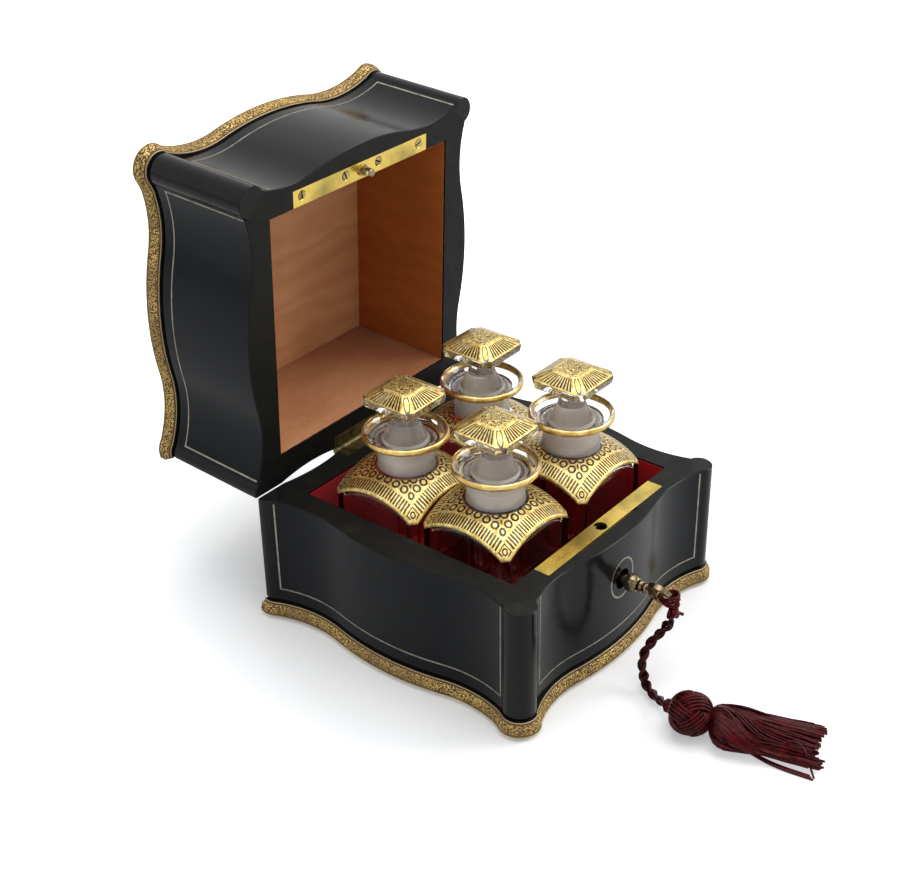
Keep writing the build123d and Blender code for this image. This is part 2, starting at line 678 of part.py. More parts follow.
def key():
    """A barrel key: bored shank with its bit, turned collar, and a pierced oval bow."""
    turned = make_face([
        Line((KEY_TIP, 0), (KEY_TIP, SHANK_RADIUS)),
        Line((KEY_TIP, SHANK_RADIUS), (-66.6, SHANK_RADIUS)),
        Line((-66.6, SHANK_RADIUS), (-66.9, 3.4)),
        ThreePointArc((-66.9, 3.4), (-69.2, 3.5), (-71.2, 2.5)),
        Line((-71.2, 2.5), (-71.4, 1.6)),
        ThreePointArc((-71.4, 1.6), (-72.4, 2.5), (-73.4, 1.6)),
        ThreePointArc((-73.4, 1.6), (-74.4, 2.1), (-75.4, 1.4)),
        Line((-75.4, 1.4), (-76.2, 1.2)),
        Line((-76.2, 1.2), (-76.2, 0)),
        Line((-76.2, 0), (KEY_TIP, 0)),
    ])
    body = revolve(turned, axis=Axis.X)
    bit = block(KEY_TIP - BIT_LENGTH, KEY_TIP, -BIT_WIDTH / 2, BIT_WIDTH / 2, SHANK_RADIUS - 0.6, BIT_REACH)
    body += bit
    middle = (BOW_START + BOW_END) / 2
    length = BOW_START - BOW_END
    bow = Ellipse(length / 2, BOW_WIDE / 2) - Ellipse(length / 2 - BOW_RIM, BOW_WIDE / 2 - BOW_RIM)
    scrolls = Sketch()
    for side in (-1, 1):
        scrolls += Pos(length / 2 - 3.2, side * 2.6) * (Circle(2.1) - Circle(1.1))
    bow += scrolls & Ellipse(length / 2 - 0.5, BOW_WIDE / 2 - 0.5)
    flat = Plane(origin=(middle, 0, 0), x_dir=(1, 0, 0), z_dir=(0, -1, 0))
    body += extrude(flat * bow, amount=BOW_THICK / 2, both=True)
    body -= rod((KEY_TIP + 1, 0, 0), (DRILL_PIN_TIP - 0.8, 0, 0), DRILL_PIN_RADIUS + 0.06)
    return Pos(0, 0, KEY_Z) * Rot(0, -BIT_ANGLE, 0) * Rot(0, 0, 90) * body


write("key", key())

# Loop and knot on the bow
loop = Pos(*LOOP_CENTRE) * Torus(LOOP_RADIUS, LOOP_CORD)
knot = Pos(*KNOT_CENTRE) * Sphere(KNOT_RADIUS)
tail = rod((0.1, LOOP_CENTRE[1] - LOOP_RADIUS, KEY_Z), KNOT_CENTRE, LOOP_CORD)
write("key_loop", loop + tail + knot)

# Cord, ball and skirt
points = [Vector(*p) for p in CORD_ROUTE]
radii = []
for before, here, after in zip(points, points[1:], points[2:]):
    turn = (here - before).get_angle(after - here)
    shorter = min((here - before).length, (after - here).length)
    radii.append(0.45 * shorter / math.tan(math.radians(turn / 2)))
print("cord arc radii", [round(r, 1) for r in radii])
cord_path = FilletPolyline(*points, radius=radii)
cord = sweep(Plane(origin=points[0], z_dir=points[1] - points[0]) * Circle(CORD_RADIUS), path=cord_path)
print("cord length", round(cord_path.length, 1), "volume", round(cord.volume, 1),
      "section times length", round(math.pi * CORD_RADIUS ** 2 * cord_path.length, 1))
ball = Pos(*BALL_CENTRE) * Sphere(BALL_RADIUS)
write("tassel_cord", cord - ball)
write("tassel_ball", ball)

yaw = math.radians(SKIRT_YAW)
forward = Vector(math.cos(yaw), math.sin(yaw), 0)
skirt_start = Vector(BALL_CENTRE[0], BALL_CENTRE[1], 0) + forward * (BALL_RADIUS - 1.2)
rings = []
for along, half_wide, half_high, height in SKIRT_SECTIONS:
    centre = skirt_start + forward * along + Vector(0, 0, height)
    plane = Plane(origin=centre, x_dir=(-math.sin(yaw), math.cos(yaw), 0), z_dir=forward)
    rings.append(plane * Ellipse(half_wide, half_high))
write("tassel_skirt", loft(rings) - ball)
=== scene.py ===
# %% [markdown]
# # A perfume casket
# A serpentine black casket stands open on a table. Four scent bottles with gilt shoulders stand in its well,
# and a small key with a silk tassel hangs from its lock. The box itself, its brass and its silk linings are
# exact solids that come ready made. This lesson gives them their finishes, and builds by hand what a solid
# modeller does badly: pressed gilt leaf, cut glass, woven silk and a tassel.

# %% The frame
import math
import random
import bpy
import bmesh
from mathutils import Matrix, Vector, noise as ripples


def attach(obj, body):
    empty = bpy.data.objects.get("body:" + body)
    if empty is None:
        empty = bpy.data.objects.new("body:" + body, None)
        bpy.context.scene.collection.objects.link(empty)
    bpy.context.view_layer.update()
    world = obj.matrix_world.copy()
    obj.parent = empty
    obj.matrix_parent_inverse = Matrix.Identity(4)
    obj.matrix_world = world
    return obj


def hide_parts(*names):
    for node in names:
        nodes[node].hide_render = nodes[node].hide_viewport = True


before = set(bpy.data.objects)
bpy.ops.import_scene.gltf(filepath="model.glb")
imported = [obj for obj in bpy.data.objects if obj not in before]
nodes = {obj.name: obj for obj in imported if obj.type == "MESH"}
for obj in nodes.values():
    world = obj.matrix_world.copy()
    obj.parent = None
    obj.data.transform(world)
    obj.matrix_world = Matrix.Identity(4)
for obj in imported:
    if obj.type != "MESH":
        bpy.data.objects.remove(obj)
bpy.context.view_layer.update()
MM = 0.001
print("frame loaded,", len(nodes), "solids")

# %% [markdown]
# ## The camera
# The photographer stood to the left of the front and looked down on the open box. The camera's place was found
# from straight edges of known length, so it is written here as three numbers for the place and three angles.

# %% Camera
YAW, PITCH, ROLL = (math.radians(a) for a in (50.61, -30.74, -1.12))
forward = Vector((math.sin(YAW) * math.cos(PITCH), math.cos(YAW) * math.cos(PITCH), math.sin(PITCH)))
level = Vector((math.cos(YAW), -math.sin(YAW), 0))
upright = level.cross(forward)
right = level * math.cos(ROLL) + upright * math.sin(ROLL)
up = upright * math.cos(ROLL) - level * math.sin(ROLL)
camera_data = bpy.data.cameras.new("camera")
camera_data.sensor_width = 36.0
camera_data.lens = 64.79
camera_data.clip_start = 0.01
camera = bpy.data.objects.new("camera", camera_data)
bpy.context.scene.collection.objects.link(camera)
turn = Matrix((right, up, -forward)).transposed().to_4x4()
camera.matrix_world = Matrix.Translation((-0.42577, -0.33070, 0.39378)) @ turn
bpy.context.scene.camera = camera
print("camera looks along", [round(v, 3) for v in forward])


# %% [markdown]
# ## Helpers
# Every finished piece stands at the origin, with its place in its mesh. These few helpers turn a bmesh into
# such a piece, give it a finish and hang it on the body that it moves with.

# %% Making pieces
def mesh_of(name, bm):
    """The mesh that a bmesh describes. The bmesh itself is freed."""
    mesh = bpy.data.meshes.new(name)
    bm.to_mesh(mesh)
    bm.free()
    return mesh


def piece(name, bm, body, finishes, replaced=(), smooth=35.0):
    """A bmesh becomes a finished piece that rides on a body."""
    return dress(name, mesh_of(name, bm), body, finishes, replaced, smooth)


def dress(name, mesh, body, finishes, replaced=(), smooth=35.0):
    """A mesh becomes a finished piece that rides on a body."""
    obj = bpy.data.objects.new(name, mesh)
    bpy.context.scene.collection.objects.link(obj)
    for finish in finishes if isinstance(finishes, (list, tuple)) else [finishes]:
        mesh.materials.append(finish)
    if smooth is not None:
        mesh.shade_smooth()
        mesh.set_sharp_from_angle(angle=math.radians(smooth))
    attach(obj, body)
    if replaced:
        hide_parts(*replaced)
    return obj


def evaluated(obj):
    """The mesh of an object as its modifiers or its curve make it. The object itself is removed."""
    bpy.context.view_layer.update()
    graph = bpy.context.evaluated_depsgraph_get()
    mesh = bpy.data.meshes.new_from_object(obj.evaluated_get(graph))
    bpy.data.objects.remove(obj)
    return mesh


# %% [markdown]
# ## The cord's line
# The tassel hangs on a short cord that falls from the key, touches the table and rises into the woven ball.
# A smooth spline along a few control points lies as a limp cord lies. The solid cord was bent on a line within
# about a millimetre of this one.

# %% Cord line
CORD_ROUTE = (
    (-1.1, -87.2, 26.8),
    (-5.0, -82.6, 20.2),
    (-8.8, -79.7, 12.4),
    (-12.6, -82.8, 4.8),
    (-15.6, -89.2, 2.6),
    (-19.6, -96.2, 4.8),
    (-22.1, -102.3, 7.2),
)


def spline_points(name, points, resolution=24):
    """Points along a smooth spline whose control points are in millimetres. The result is in metres."""
    curve = bpy.data.curves.new(name, "CURVE")
    curve.dimensions = "3D"
    curve.resolution_u = resolution
    spline = curve.splines.new("NURBS")
    spline.points.add(len(points) - 1)
    for target, point in zip(spline.points, points):
        target.co = (*(Vector(point) * MM), 1.0)
    spline.order_u = 3
    spline.use_endpoint_u = True
    obj = bpy.data.objects.new(name, curve)
    bpy.context.scene.collection.objects.link(obj)
    mesh = evaluated(obj)
    line = [v.co.copy() for v in mesh.vertices]
    bpy.data.meshes.remove(mesh)
    bpy.data.curves.remove(curve)
    return line


cord_line = spline_points("cord_line", CORD_ROUTE)

# %% [markdown]
# ## Patterns as formulas
# A finish is a small graph of nodes. Wrapping a node's output in a Field lets plain arithmetic build that
# graph: adding, multiplying or comparing Fields adds the Math nodes that do it, so a pattern reads like a
# formula.

# %% Fields
class Field:
    """A node's output. A mask is a Field that is 1 or 0: & takes both, | takes either and ~ turns it round."""

    def __init__(self, socket):
        self.socket = socket
        self.tree = socket.id_data

    def math(self, operation, *others):
        made = self.tree.nodes.new("ShaderNodeMath")
        made.operation = operation
        for socket, value in zip(made.inputs, (self, *others)):
            give(socket, value)
        return Field(made.outputs[0])

    def __add__(self, other):
        return self.math("ADD", other)

    def __sub__(self, other):
        return self.math("SUBTRACT", other)

    def __mul__(self, other):
        return self.math("MULTIPLY", other)

    def __truediv__(self, other):
        return self.math("DIVIDE", other)

    def __mod__(self, other):
        return self.math("MODULO", other)

    def __lt__(self, other):
        return self.math("LESS_THAN", other)

    def __gt__(self, other):
        return self.math("GREATER_THAN", other)

    def __or__(self, other):
        return self.math("MAXIMUM", other)

    def __and__(self, other):
        return self * other

    def __invert__(self):
        return self * -1.0 + 1.0

    def __abs__(self):
        return self.math("ABSOLUTE")

    def between(self, low, high):
        return (self > low) & (self < high)


# %% Nodes
def give(socket, value):
    """Links a Field to an input, or sets the input to a plain value. Three numbers are enough for a colour."""
    if isinstance(value, Field):
        socket.id_data.links.new(value.socket, socket)
    elif socket.type == "RGBA" and len(value) == 3:
        socket.default_value = (*value, 1)
    else:
        socket.default_value = value


def fill(node, values):
    for key, value in values.items():
        give(node.inputs[key], value)


def add_node(tree, kind, values, **settings):
    made = tree.nodes.new("ShaderNode" + kind)
    for key, value in settings.items():
        setattr(made, key, value)
    fill(made, values)
    return made


def new_finish(name):
    """A material with one Principled shader: the material, its node tree and the shader."""
    material = bpy.data.materials.new(name)
    material.use_nodes = True
    tree = material.node_tree
    tree.nodes.clear()
    out = tree.nodes.new("ShaderNodeOutputMaterial")
    shader = tree.nodes.new("ShaderNodeBsdfPrincipled")
    tree.links.new(shader.outputs[0], out.inputs["Surface"])
    return material, tree, shader


def coordinates(tree, scale=(1, 1, 1), turn=(0, 0, 0), attribute=None):
    """Object coordinates, or a named attribute of the mesh, scaled and turned by a Mapping node."""
    if attribute:
        source = add_node(tree, "Attribute", {}, attribute_name=attribute).outputs["Vector"]
    else:
        source = add_node(tree, "TexCoord", {}).outputs["Object"]
    made = add_node(tree, "Mapping", {"Vector": Field(source), "Scale": scale, "Rotation": turn})
    return Field(made.outputs["Vector"])


# %% Textures and colours
def noise(vector, scale, detail=4.0, roughness=0.55, distortion=0.0):
    made = add_node(vector.tree, "TexNoise", {"Vector": vector, "Scale": scale, "Detail": detail,
                                              "Roughness": roughness, "Distortion": distortion})
    return Field(made.outputs["Fac"])


def ramp(value, *stops):
    """A colour ramp. Each stop is (position, colour) with a colour of three numbers, or one for grey."""
    made = add_node(value.tree, "ValToRGB", {"Fac": value})
    elements = made.color_ramp.elements
    while len(elements) < len(stops):
        elements.new(0.5)
    for element, (position, colour) in zip(elements, stops):
        element.position = position
        grey = isinstance(colour, (int, float))
        element.color = (colour, colour, colour, 1) if grey else (*colour, 1)
    return Field(made.outputs["Color"])


def mix_colour(factor, first, second, blend="MIX"):
    tree = next(value.tree for value in (factor, first, second) if isinstance(value, Field))
    made = add_node(tree, "Mix", {}, data_type="RGBA", blend_type=blend)
    fill(made, {0: factor, 6: first, 7: second})
    return Field(made.outputs[2])


def bump(shader, height, strength, distance):
    made = add_node(height.tree, "Bump", {"Strength": strength, "Distance": distance, "Height": height})
    give(shader.inputs["Normal"], Field(made.outputs["Normal"]))


def separate(vector):
    return [Field(output) for output in add_node(vector.tree, "SeparateXYZ", {0: vector}).outputs]


# %% [markdown]
# ## Light, floor and background
# Soft studio light: one broad lamp overhead, one from the front right, and a weak one from the left. The
# backdrop is white to the camera and in what glass and polish show of it. The floor glows too, to the camera
# and through glass. It glows more away from the casket, where it is as white as the backdrop, so the shadow
# stays close.

# %% World
def seen_rays(tree, *kinds):
    """1 for rays of any of these kinds."""
    rays = add_node(tree, "LightPath", {})
    first, *others = [Field(rays.outputs[f"Is {kind} Ray"]) for kind in kinds]
    for other in others:
        first = first | other
    return first


scene = bpy.context.scene
scene.view_settings.view_transform = "Standard"

world = bpy.data.worlds.new("studio")
scene.world = world
world.use_nodes = True
tree = world.node_tree
tree.nodes.clear()
plain = add_node(tree, "Background", {"Color": (0.93, 0.96, 1.0), "Strength": 0.45})
white = add_node(tree, "Background", {"Color": (1, 1, 1), "Strength": 1.0})
mixed = add_node(tree, "MixShader", {0: seen_rays(tree, "Camera", "Transmission", "Glossy"),
                                     1: Field(plain.outputs[0]), 2: Field(white.outputs[0])})
add_node(tree, "OutputWorld", {"Surface": Field(mixed.outputs[0])})
print("world has", len(tree.nodes), "nodes")

# %% Floor
bm = bmesh.new()
bmesh.ops.create_grid(bm, x_segments=1, y_segments=1, size=3.0)
mesh = mesh_of("floor", bm)
floor = bpy.data.objects.new("floor", mesh)
scene.collection.objects.link(floor)
floor_finish, tree, shader = new_finish("floor_white")
fill(shader, {"Base Color": (0.86, 0.86, 0.86), "Roughness": 0.7, "Specular IOR Level": 0.15})
away = add_node(tree, "VectorMath", {0: coordinates(tree)}, operation="LENGTH").outputs["Value"]
lift = ramp(Field(away), (0.09, 0.22), (0.16, 0.60), (0.30, 0.98))
strength = seen_rays(tree, "Camera", "Transmission") * lift
glow = add_node(tree, "Emission", {"Color": (1, 1, 1), "Strength": strength})
both = add_node(tree, "AddShader", {0: Field(shader.outputs[0]), 1: Field(glow.outputs[0])})
output = next(n for n in tree.nodes if n.type == "OUTPUT_MATERIAL")
give(output.inputs["Surface"], Field(both.outputs[0]))
mesh.materials.append(floor_finish)
print("floor glows with", len(tree.nodes), "nodes")


# %% Lamps
def lamp(name, place, target, size, power):
    light = bpy.data.lights.new(name, "AREA")
    light.shape = "RECTANGLE"
    light.size = light.size_y = size
    light.energy = power
    obj = bpy.data.objects.new(name, light)
    scene.collection.objects.link(obj)
    aim = (Vector(target) - Vector(place)).to_track_quat("-Z", "Y")
    obj.matrix_world = Matrix.Translation(place) @ aim.to_matrix().to_4x4()


lamp("lamp_above", (0.15, -0.15, 1.5), (0, 0, 0.05), 1.3, 13.0)
lamp("lamp_left", (-1.3, 0.1, 0.75), (0, 0, 0.08), 0.9, 1.3)
lamp("lamp_front", (1.15, -0.9, 1.05), (0, 0, 0.05), 0.7, 10.0)
print("studio has", len(bpy.data.lights), "lamps")

# %% [markdown]
# ## The open lid
# The lid is modelled shut and then swung back on its hinge. Finishes that must know where the rim is turn their
# coordinates by the same angle.

# %% The lid's turn
HINGE = Vector((0, 0.0629, 0.0544))
OPEN_DEGREES = 87.7
CASE_RIM, LID_RIM = 55.0, 55.15
opened = Matrix.Translation(HINGE) @ Matrix.Rotation(-math.radians(OPEN_DEGREES), 4, "X")
opened = opened @ Matrix.Translation(-HINGE)
TURNED = (math.radians(OPEN_DEGREES), 0, 0)
# The Mapping node turns about the origin, so the rim's height there is that of one rim point turned alone
rim_point = Matrix.Rotation(TURNED[0], 3, "X") @ (opened @ Vector((0, -0.05, LID_RIM * MM)))
print("lid rim lies at", round(rim_point.z * 1000, 2), "after the turn")


def rim_mask(tree, open_lid):
    """1 on the face of the rim, where the case and the lid meet."""
    if open_lid:
        return separate(coordinates(tree, turn=TURNED))[2] < rim_point.z + 0.1 * MM
    return separate(coordinates(tree))[2] > (CASE_RIM - 0.1) * MM


# %% [markdown]
# ## Ebonised wood
# The panels are pear or rosewood, stained black and polished with shellac. Such a black is a little blue where
# it mirrors the room, and a little brown where it is rubbed. A very dark colour with a low reflection gives
# both, and faint cloudy variation in its roughness keeps the mirror from looking like plastic.

# %% Ebonised wood and rosewood
def black_polish(name, open_lid):
    """Black polish on the faces, and dull worn stain on the face of the rim."""
    material, tree, shader = new_finish(name)
    rim = rim_mask(tree, open_lid)
    vector = coordinates(tree)
    cloud = noise(vector, 38.0, 5.0)
    grain = noise(coordinates(tree, scale=(30, 30, 260)), 6.0, 3.0)
    polish = ramp(cloud, (0.3, (0.0028, 0.0038, 0.005)), (0.62, (0.0042, 0.0050, 0.006)),
                  (0.8, (0.007, 0.006, 0.0055)))
    rubbed = ramp(grain, (0.35, (0.004, 0.0044, 0.0040)), (0.6, (0.0075, 0.0076, 0.0065)),
                  (0.8, (0.018, 0.016, 0.012)))
    shine = ramp(noise(vector, 120.0), (0.3, 0.13), (0.75, 0.26))
    fill(shader, {"Base Color": mix_colour(rim, polish, rubbed), "Roughness": rim * 0.35 + shine,
                  "Specular IOR Level": 0.16})
    bump(shader, noise(vector, 60.0, 2.0), 0.08, 0.0008)
    return material


def rosewood(name, along, open_lid):
    """Near black polished rosewood of the corner columns, its streaks running along them. The ends are dull."""
    material, tree, shader = new_finish(name)
    end = rim_mask(tree, open_lid)
    scale = [160, 160, 160]
    scale[along] = 9
    streak = noise(coordinates(tree, scale=tuple(scale)), 3.0, 5.0, 0.6, 0.4)
    colour = ramp(streak, (0.32, (0.0040, 0.0036, 0.0038)), (0.55, (0.0062, 0.0052, 0.0050)),
                  (0.78, (0.0125, 0.0088, 0.0075)))
    worst = (0.016, 0.016, 0.014) if open_lid else (0.07, 0.075, 0.062)
    scuffs = ramp(noise(coordinates(tree), 700.0, 4.0, 0.7, 1.5), (0.45, (0.0050, 0.0054, 0.0048)),
                  (0.60, (0.0095, 0.010, 0.0085)), (0.76, worst))
    shine = ramp(streak, (0.3, 0.16), (0.8, 0.28))
    fill(shader, {"Base Color": mix_colour(end, colour, scuffs), "Roughness": end * 0.3 + shine,
                  "Specular IOR Level": 0.2})
    bump(shader, streak, 0.06, 0.0002)
    return material


ebony_case, ebony_lid = black_polish("ebonised_case", False), black_polish("ebonised_lid", True)
rosewood_case, rosewood_lid = rosewood("rosewood_case", 2, False), rosewood("rosewood_lid", 1, True)

# %% [markdown]
# ## Brass, bronze and steel
# The stringing is a pale thin brass, the plates are yellow and brightly rubbed, the key is brown bronze. They
# share one recipe: a metal whose colour and roughness wander, with fine scratches along one direction.

# %% Metals
def metal(name, bright, dark, rough, scale=300.0, scratch=(1, 1, 1)):
    material, tree, shader = new_finish(name)
    cloud = noise(coordinates(tree), scale, 4.0, 0.6)
    fine = noise(coordinates(tree, scale=scratch), scale * 4, 3.0, 0.7)
    fill(shader, {"Base Color": ramp(cloud, (0.32, dark), (0.58, bright)), "Metallic": 1.0,
                  "Roughness": ramp(fine, (0.3, max(rough - 0.12, 0.05)), (0.75, rough + 0.12))})
    bump(shader, fine, 0.15, 0.0001)
    return material


STRING_LOOK = (0.36, 0.34, 0.27), (0.20, 0.18, 0.13), 0.42
string_brass = metal("string_brass", *STRING_LOOK)
string_line = metal("string_line", *STRING_LOOK)
plate_brass = metal("plate_brass", (0.80, 0.58, 0.13), (0.36, 0.28, 0.075), 0.27, 55.0, (0.15, 1, 1))
screw_brass = metal("screw_brass", (0.50, 0.42, 0.20), (0.16, 0.12, 0.05), 0.34)
hinge_brass = metal("hinge_brass", (0.20, 0.16, 0.075), (0.05, 0.038, 0.02), 0.42)
key_bronze = metal("key_bronze", (0.27, 0.205, 0.115), (0.022, 0.016, 0.010), 0.23, 520.0)
catch_metal = metal("catch_metal", (0.46, 0.38, 0.22), (0.09, 0.07, 0.04), 0.3, 400.0)
lock_steel = metal("lock_steel", (0.34, 0.34, 0.35), (0.14, 0.13, 0.13), 0.42)
# Near black for the screws' cups: painted shade in the gap round each head.
gap_painted_shade = metal("gap_painted_shade", (0.03, 0.024, 0.014), (0.012, 0.01, 0.007), 0.5)


def blacken(material, low, high):
    """Fills the stringing in black between two limits of x, on the front of the case and on the open lid."""
    tree = material.node_tree
    shader = next(n for n in tree.nodes if n.type == "BSDF_PRINCIPLED")
    x, y, z = separate(coordinates(tree))
    mask = ((y < 0.0) | (z > 0.11)) & x.between(low, high)
    bright = Field(shader.inputs["Base Color"].links[0].from_socket)
    fill(shader, {"Base Color": mix_colour(mask, bright, (0.004, 0.0045, 0.005)), "Metallic": ~mask})


blacken(string_brass, -0.0530, -0.0487)

# %% Linings
def cloth(name, dark, mid, light, painted_shade_right=None, turn=TURNED, wave=30.0):
    """Watered silk: a fine rib, crossed by the wandering bands that pressing leaves in it.

    The last argument is how much of its colour the silk keeps at its right end, painted darker there as shade."""
    material, tree, shader = new_finish(name)
    vector = coordinates(tree, turn=turn)
    watered = add_node(tree, "TexWave", {"Vector": coordinates(tree, scale=(0.35, 1, 1), turn=turn),
                                         "Scale": wave, "Distortion": 9.0, "Detail": 3.0, "Detail Scale": 1.6},
                       bands_direction="Y")
    patch = noise(vector, 26.0, 5.0, 0.6)
    weft = noise(coordinates(tree, scale=(1, 1, 12), turn=turn), 500.0, 3.0, 0.7)
    shade = weft * 0.32 + (Field(watered.outputs["Fac"]) * 0.10 + patch * 0.6)
    colour = ramp(shade, (0.28, dark), (0.52, mid), (0.78, light))
    # Painted shade: the silk darkens towards its right end.
    if painted_shade_right:
        x, y, z = separate(coordinates(tree, scale=(10, 10, 10)))
        kept = ramp(x + 0.5, (0.25, 1.0), (0.92, painted_shade_right))
        colour = mix_colour(1.0, colour, kept, "MULTIPLY")
    fill(shader, {"Base Color": colour, "Roughness": 0.62, "Specular IOR Level": 0.25,
                  "Sheen Weight": 0.25, "Sheen Roughness": 0.4})
    rib = add_node(tree, "TexWave", {"Vector": vector, "Scale": 900.0, "Distortion": 0.6}, bands_direction="X")
    bump(shader, Field(rib.outputs["Fac"]) * 0.2 + patch, 0.35, 0.0007)
    return material


# One silk in three copies: as lit, a little darker as painted shade for the lower sheet, and in painted shade
# for the front and side sheets.
moire_lit = cloth("moire_silk", (0.52, 0.215, 0.085), (0.68, 0.325, 0.145), (0.82, 0.45, 0.23))
moire_low_shaded = cloth("moire_silk_low_shaded", (0.42, 0.170, 0.068), (0.56, 0.26, 0.112), (0.70, 0.37, 0.19),
                  painted_shade_right=(0.60, 0.50, 0.42))
moire_shaded = cloth("moire_silk_shaded", (0.31, 0.078, 0.009), (0.38, 0.105, 0.014), (0.46, 0.14, 0.024))
red_paper = cloth("well_red", (0.32, 0.003, 0.004), (0.52, 0.006, 0.008), (0.68, 0.014, 0.016),
                  turn=(0, 0, 0), wave=20.0)
print(len(bpy.data.materials), "finishes so far")

# %% [markdown]
# ## Finishes on the ready-made solids
# Each solid keeps its shape and its smoothing, and gets its finish.

# %% Painting the solids
def paint(finish, *names):
    for name in names:
        obj = nodes[name]
        obj.data.materials.clear()
        obj.data.materials.append(finish)


SIDES = ("front", "back", "left", "right")
paint(ebony_case, *[f"base_wall_{s}" for s in SIDES], "bottom_board")
paint(ebony_lid, *[f"lid_wall_{s}" for s in SIDES], "lid_top_board")
paint(rosewood_case, "base_columns")
paint(rosewood_lid, "lid_columns")
paint(string_brass, "base_stringing", "lid_stringing", "keyhole_ring")
paint(plate_brass, "lock_plate", "link_plate")
paint(catch_metal, "catch_stud")
paint(hinge_brass, "hinge_leaf_case", "hinge_leaf_lid", "hinge_pin", "hinge_screws_case", "hinge_screws_lid")
paint(lock_steel, "lock_case", "lock_drill_pin", "lock_bolt")
paint(key_bronze, "key")
print("solids painted, the key in", nodes["key"].data.materials[0].name)

# %% [markdown]
# ## Glass, frosting and gilding
# The bottles are clear lead glass. Their necks and the stoppers' plugs are ground to a frosted white so that
# they seal. Raised gilding covers each shoulder: a field of gold with rings left clear, a border of bars, a
# little square with a ring in it at every corner, and a gold line round the whole. The pattern follows the
# bottle and not the room, so every bottle carries its own coordinates in an attribute named local, in
# millimetres from its own centre.

# %% Glass finishes
GLASS_INDEX = 1.52


def clear_glass():
    material, tree, shader = new_finish("clear_glass")
    film = ramp(noise(coordinates(tree), 90.0, 3.0), (0.45, 0.0), (0.8, 0.05))
    fill(shader, {"Base Color": (0.985, 0.985, 0.985), "Transmission Weight": 1.0, "IOR": GLASS_INDEX,
                  "Roughness": film})
    return material


def frosted_glass(name, clearness):
    material, tree, shader = new_finish(name)
    grind = noise(coordinates(tree), 900.0, 3.0)
    turned_marks = noise(coordinates(tree, scale=(6, 6, 900)), 1.0, 3.0, 0.7)
    fill(shader, {"Base Color": ramp(turned_marks, (0.3, (0.85, 0.80, 0.76)), (0.7, (0.99, 0.95, 0.90))),
                  "Transmission Weight": clearness, "IOR": 1.45,
                  "Roughness": ramp(grind, (0.3, 0.30), (0.7, 0.48))})
    bump(shader, grind + turned_marks, 0.25, 0.0002)
    return material


def distance(a, b):
    return (a * a + b * b).math("SQRT")


def folded_square(tree, wander):
    """One eighth of a square stands for all of it: along the side, out from the middle, both added, height."""
    vector = coordinates(tree, attribute="local")
    shake = add_node(tree, "TexNoise", {"Vector": vector, "Scale": 0.9, "Detail": 1.0})
    centred = add_node(tree, "VectorMath", {0: Field(shake.outputs["Color"]), 1: (0.5, 0.5, 0.5)},
                       operation="SUBTRACT")
    moved = add_node(tree, "VectorMath", {0: Field(centred.outputs[0]), 1: (wander, wander, wander), 2: vector},
                     operation="MULTIPLY_ADD")
    x, y, z = separate(Field(moved.outputs[0]))
    across, away = abs(x), abs(y)
    return across.math("MINIMUM", away), across | away, across + away, z


def gild(shader, gold_mask, gap):
    """Gold leaf where the mask is 1, and glass tinted dark as painted shade where it is 0, on one shader."""
    tone = noise(coordinates(gold_mask.tree), 700.0, 3.0)
    gold = ramp(tone, (0.28, (0.40, 0.25, 0.055)), (0.5, (0.76, 0.57, 0.18)), (0.72, (0.98, 0.86, 0.44)))
    fill(shader, {"Base Color": mix_colour(gold_mask, gap, gold), "Metallic": gold_mask * 0.82,
                  "Transmission Weight": gold_mask * -0.7 + 0.7, "IOR": GLASS_INDEX,
                  "Roughness": gold_mask * 0.38 + 0.02})
    bump(shader, tone * 0.3 + gold_mask, 0.25, 0.00015)


def worn(mask, amount):
    """Small losses in the leaf."""
    return mask & ~(noise(coordinates(mask.tree), 330.0, 4.0, 0.65) > amount)


# %% Gilding of the shoulder
RING_PITCH, RING_INNER, RING_OUTER = 3.91, 0.88, 1.66
BAR_PITCH = 1.28
FIELD_TO = 15.3
CORNER_MIDDLE, CORNER_FROM = 17.75, 16.15


def gilded_shoulder():
    """Rings in the field, bars round it, and a ring and a line at each corner, measured from the middle."""
    material, tree, shader = new_finish("gilded_shoulder")
    along, out, both, z = folded_square(tree, 0.28)
    field = out < FIELD_TO
    for row, shift in ((13.2, 0.0), (9.9, RING_PITCH / 2)):
        cell = (along + shift) % RING_PITCH - RING_PITCH / 2
        field = field & ~distance(cell, out - row).between(RING_INNER, RING_OUTER)
    bars = (along / BAR_PITCH).math("FRACT").between(0.24, 0.78) & out.between(15.75, 19.75) & (along < 15.5)
    band = (out > FIELD_TO) & ~bars
    corner_x, corner_y = along - CORNER_MIDDLE, out - CORNER_MIDDLE
    corner_ring = (along > CORNER_FROM) & distance(corner_x, corner_y).between(0.62, 1.12)
    frame_line = (along > 15.85) & (abs(corner_x) | abs(corner_y)).between(1.42, 1.84) & (both < 37.3)
    gold = (field | band) & ~corner_ring & ~frame_line
    # The gaps are tinted a dark red brown: painted shade for the dark red seen through the clear glass.
    gild(shader, worn(gold, 0.71), (0.10, 0.035, 0.022))
    return material


# %% Gilding of the stopper
PLATEAU_TO = 5.9
DIAGONAL = 0.7071


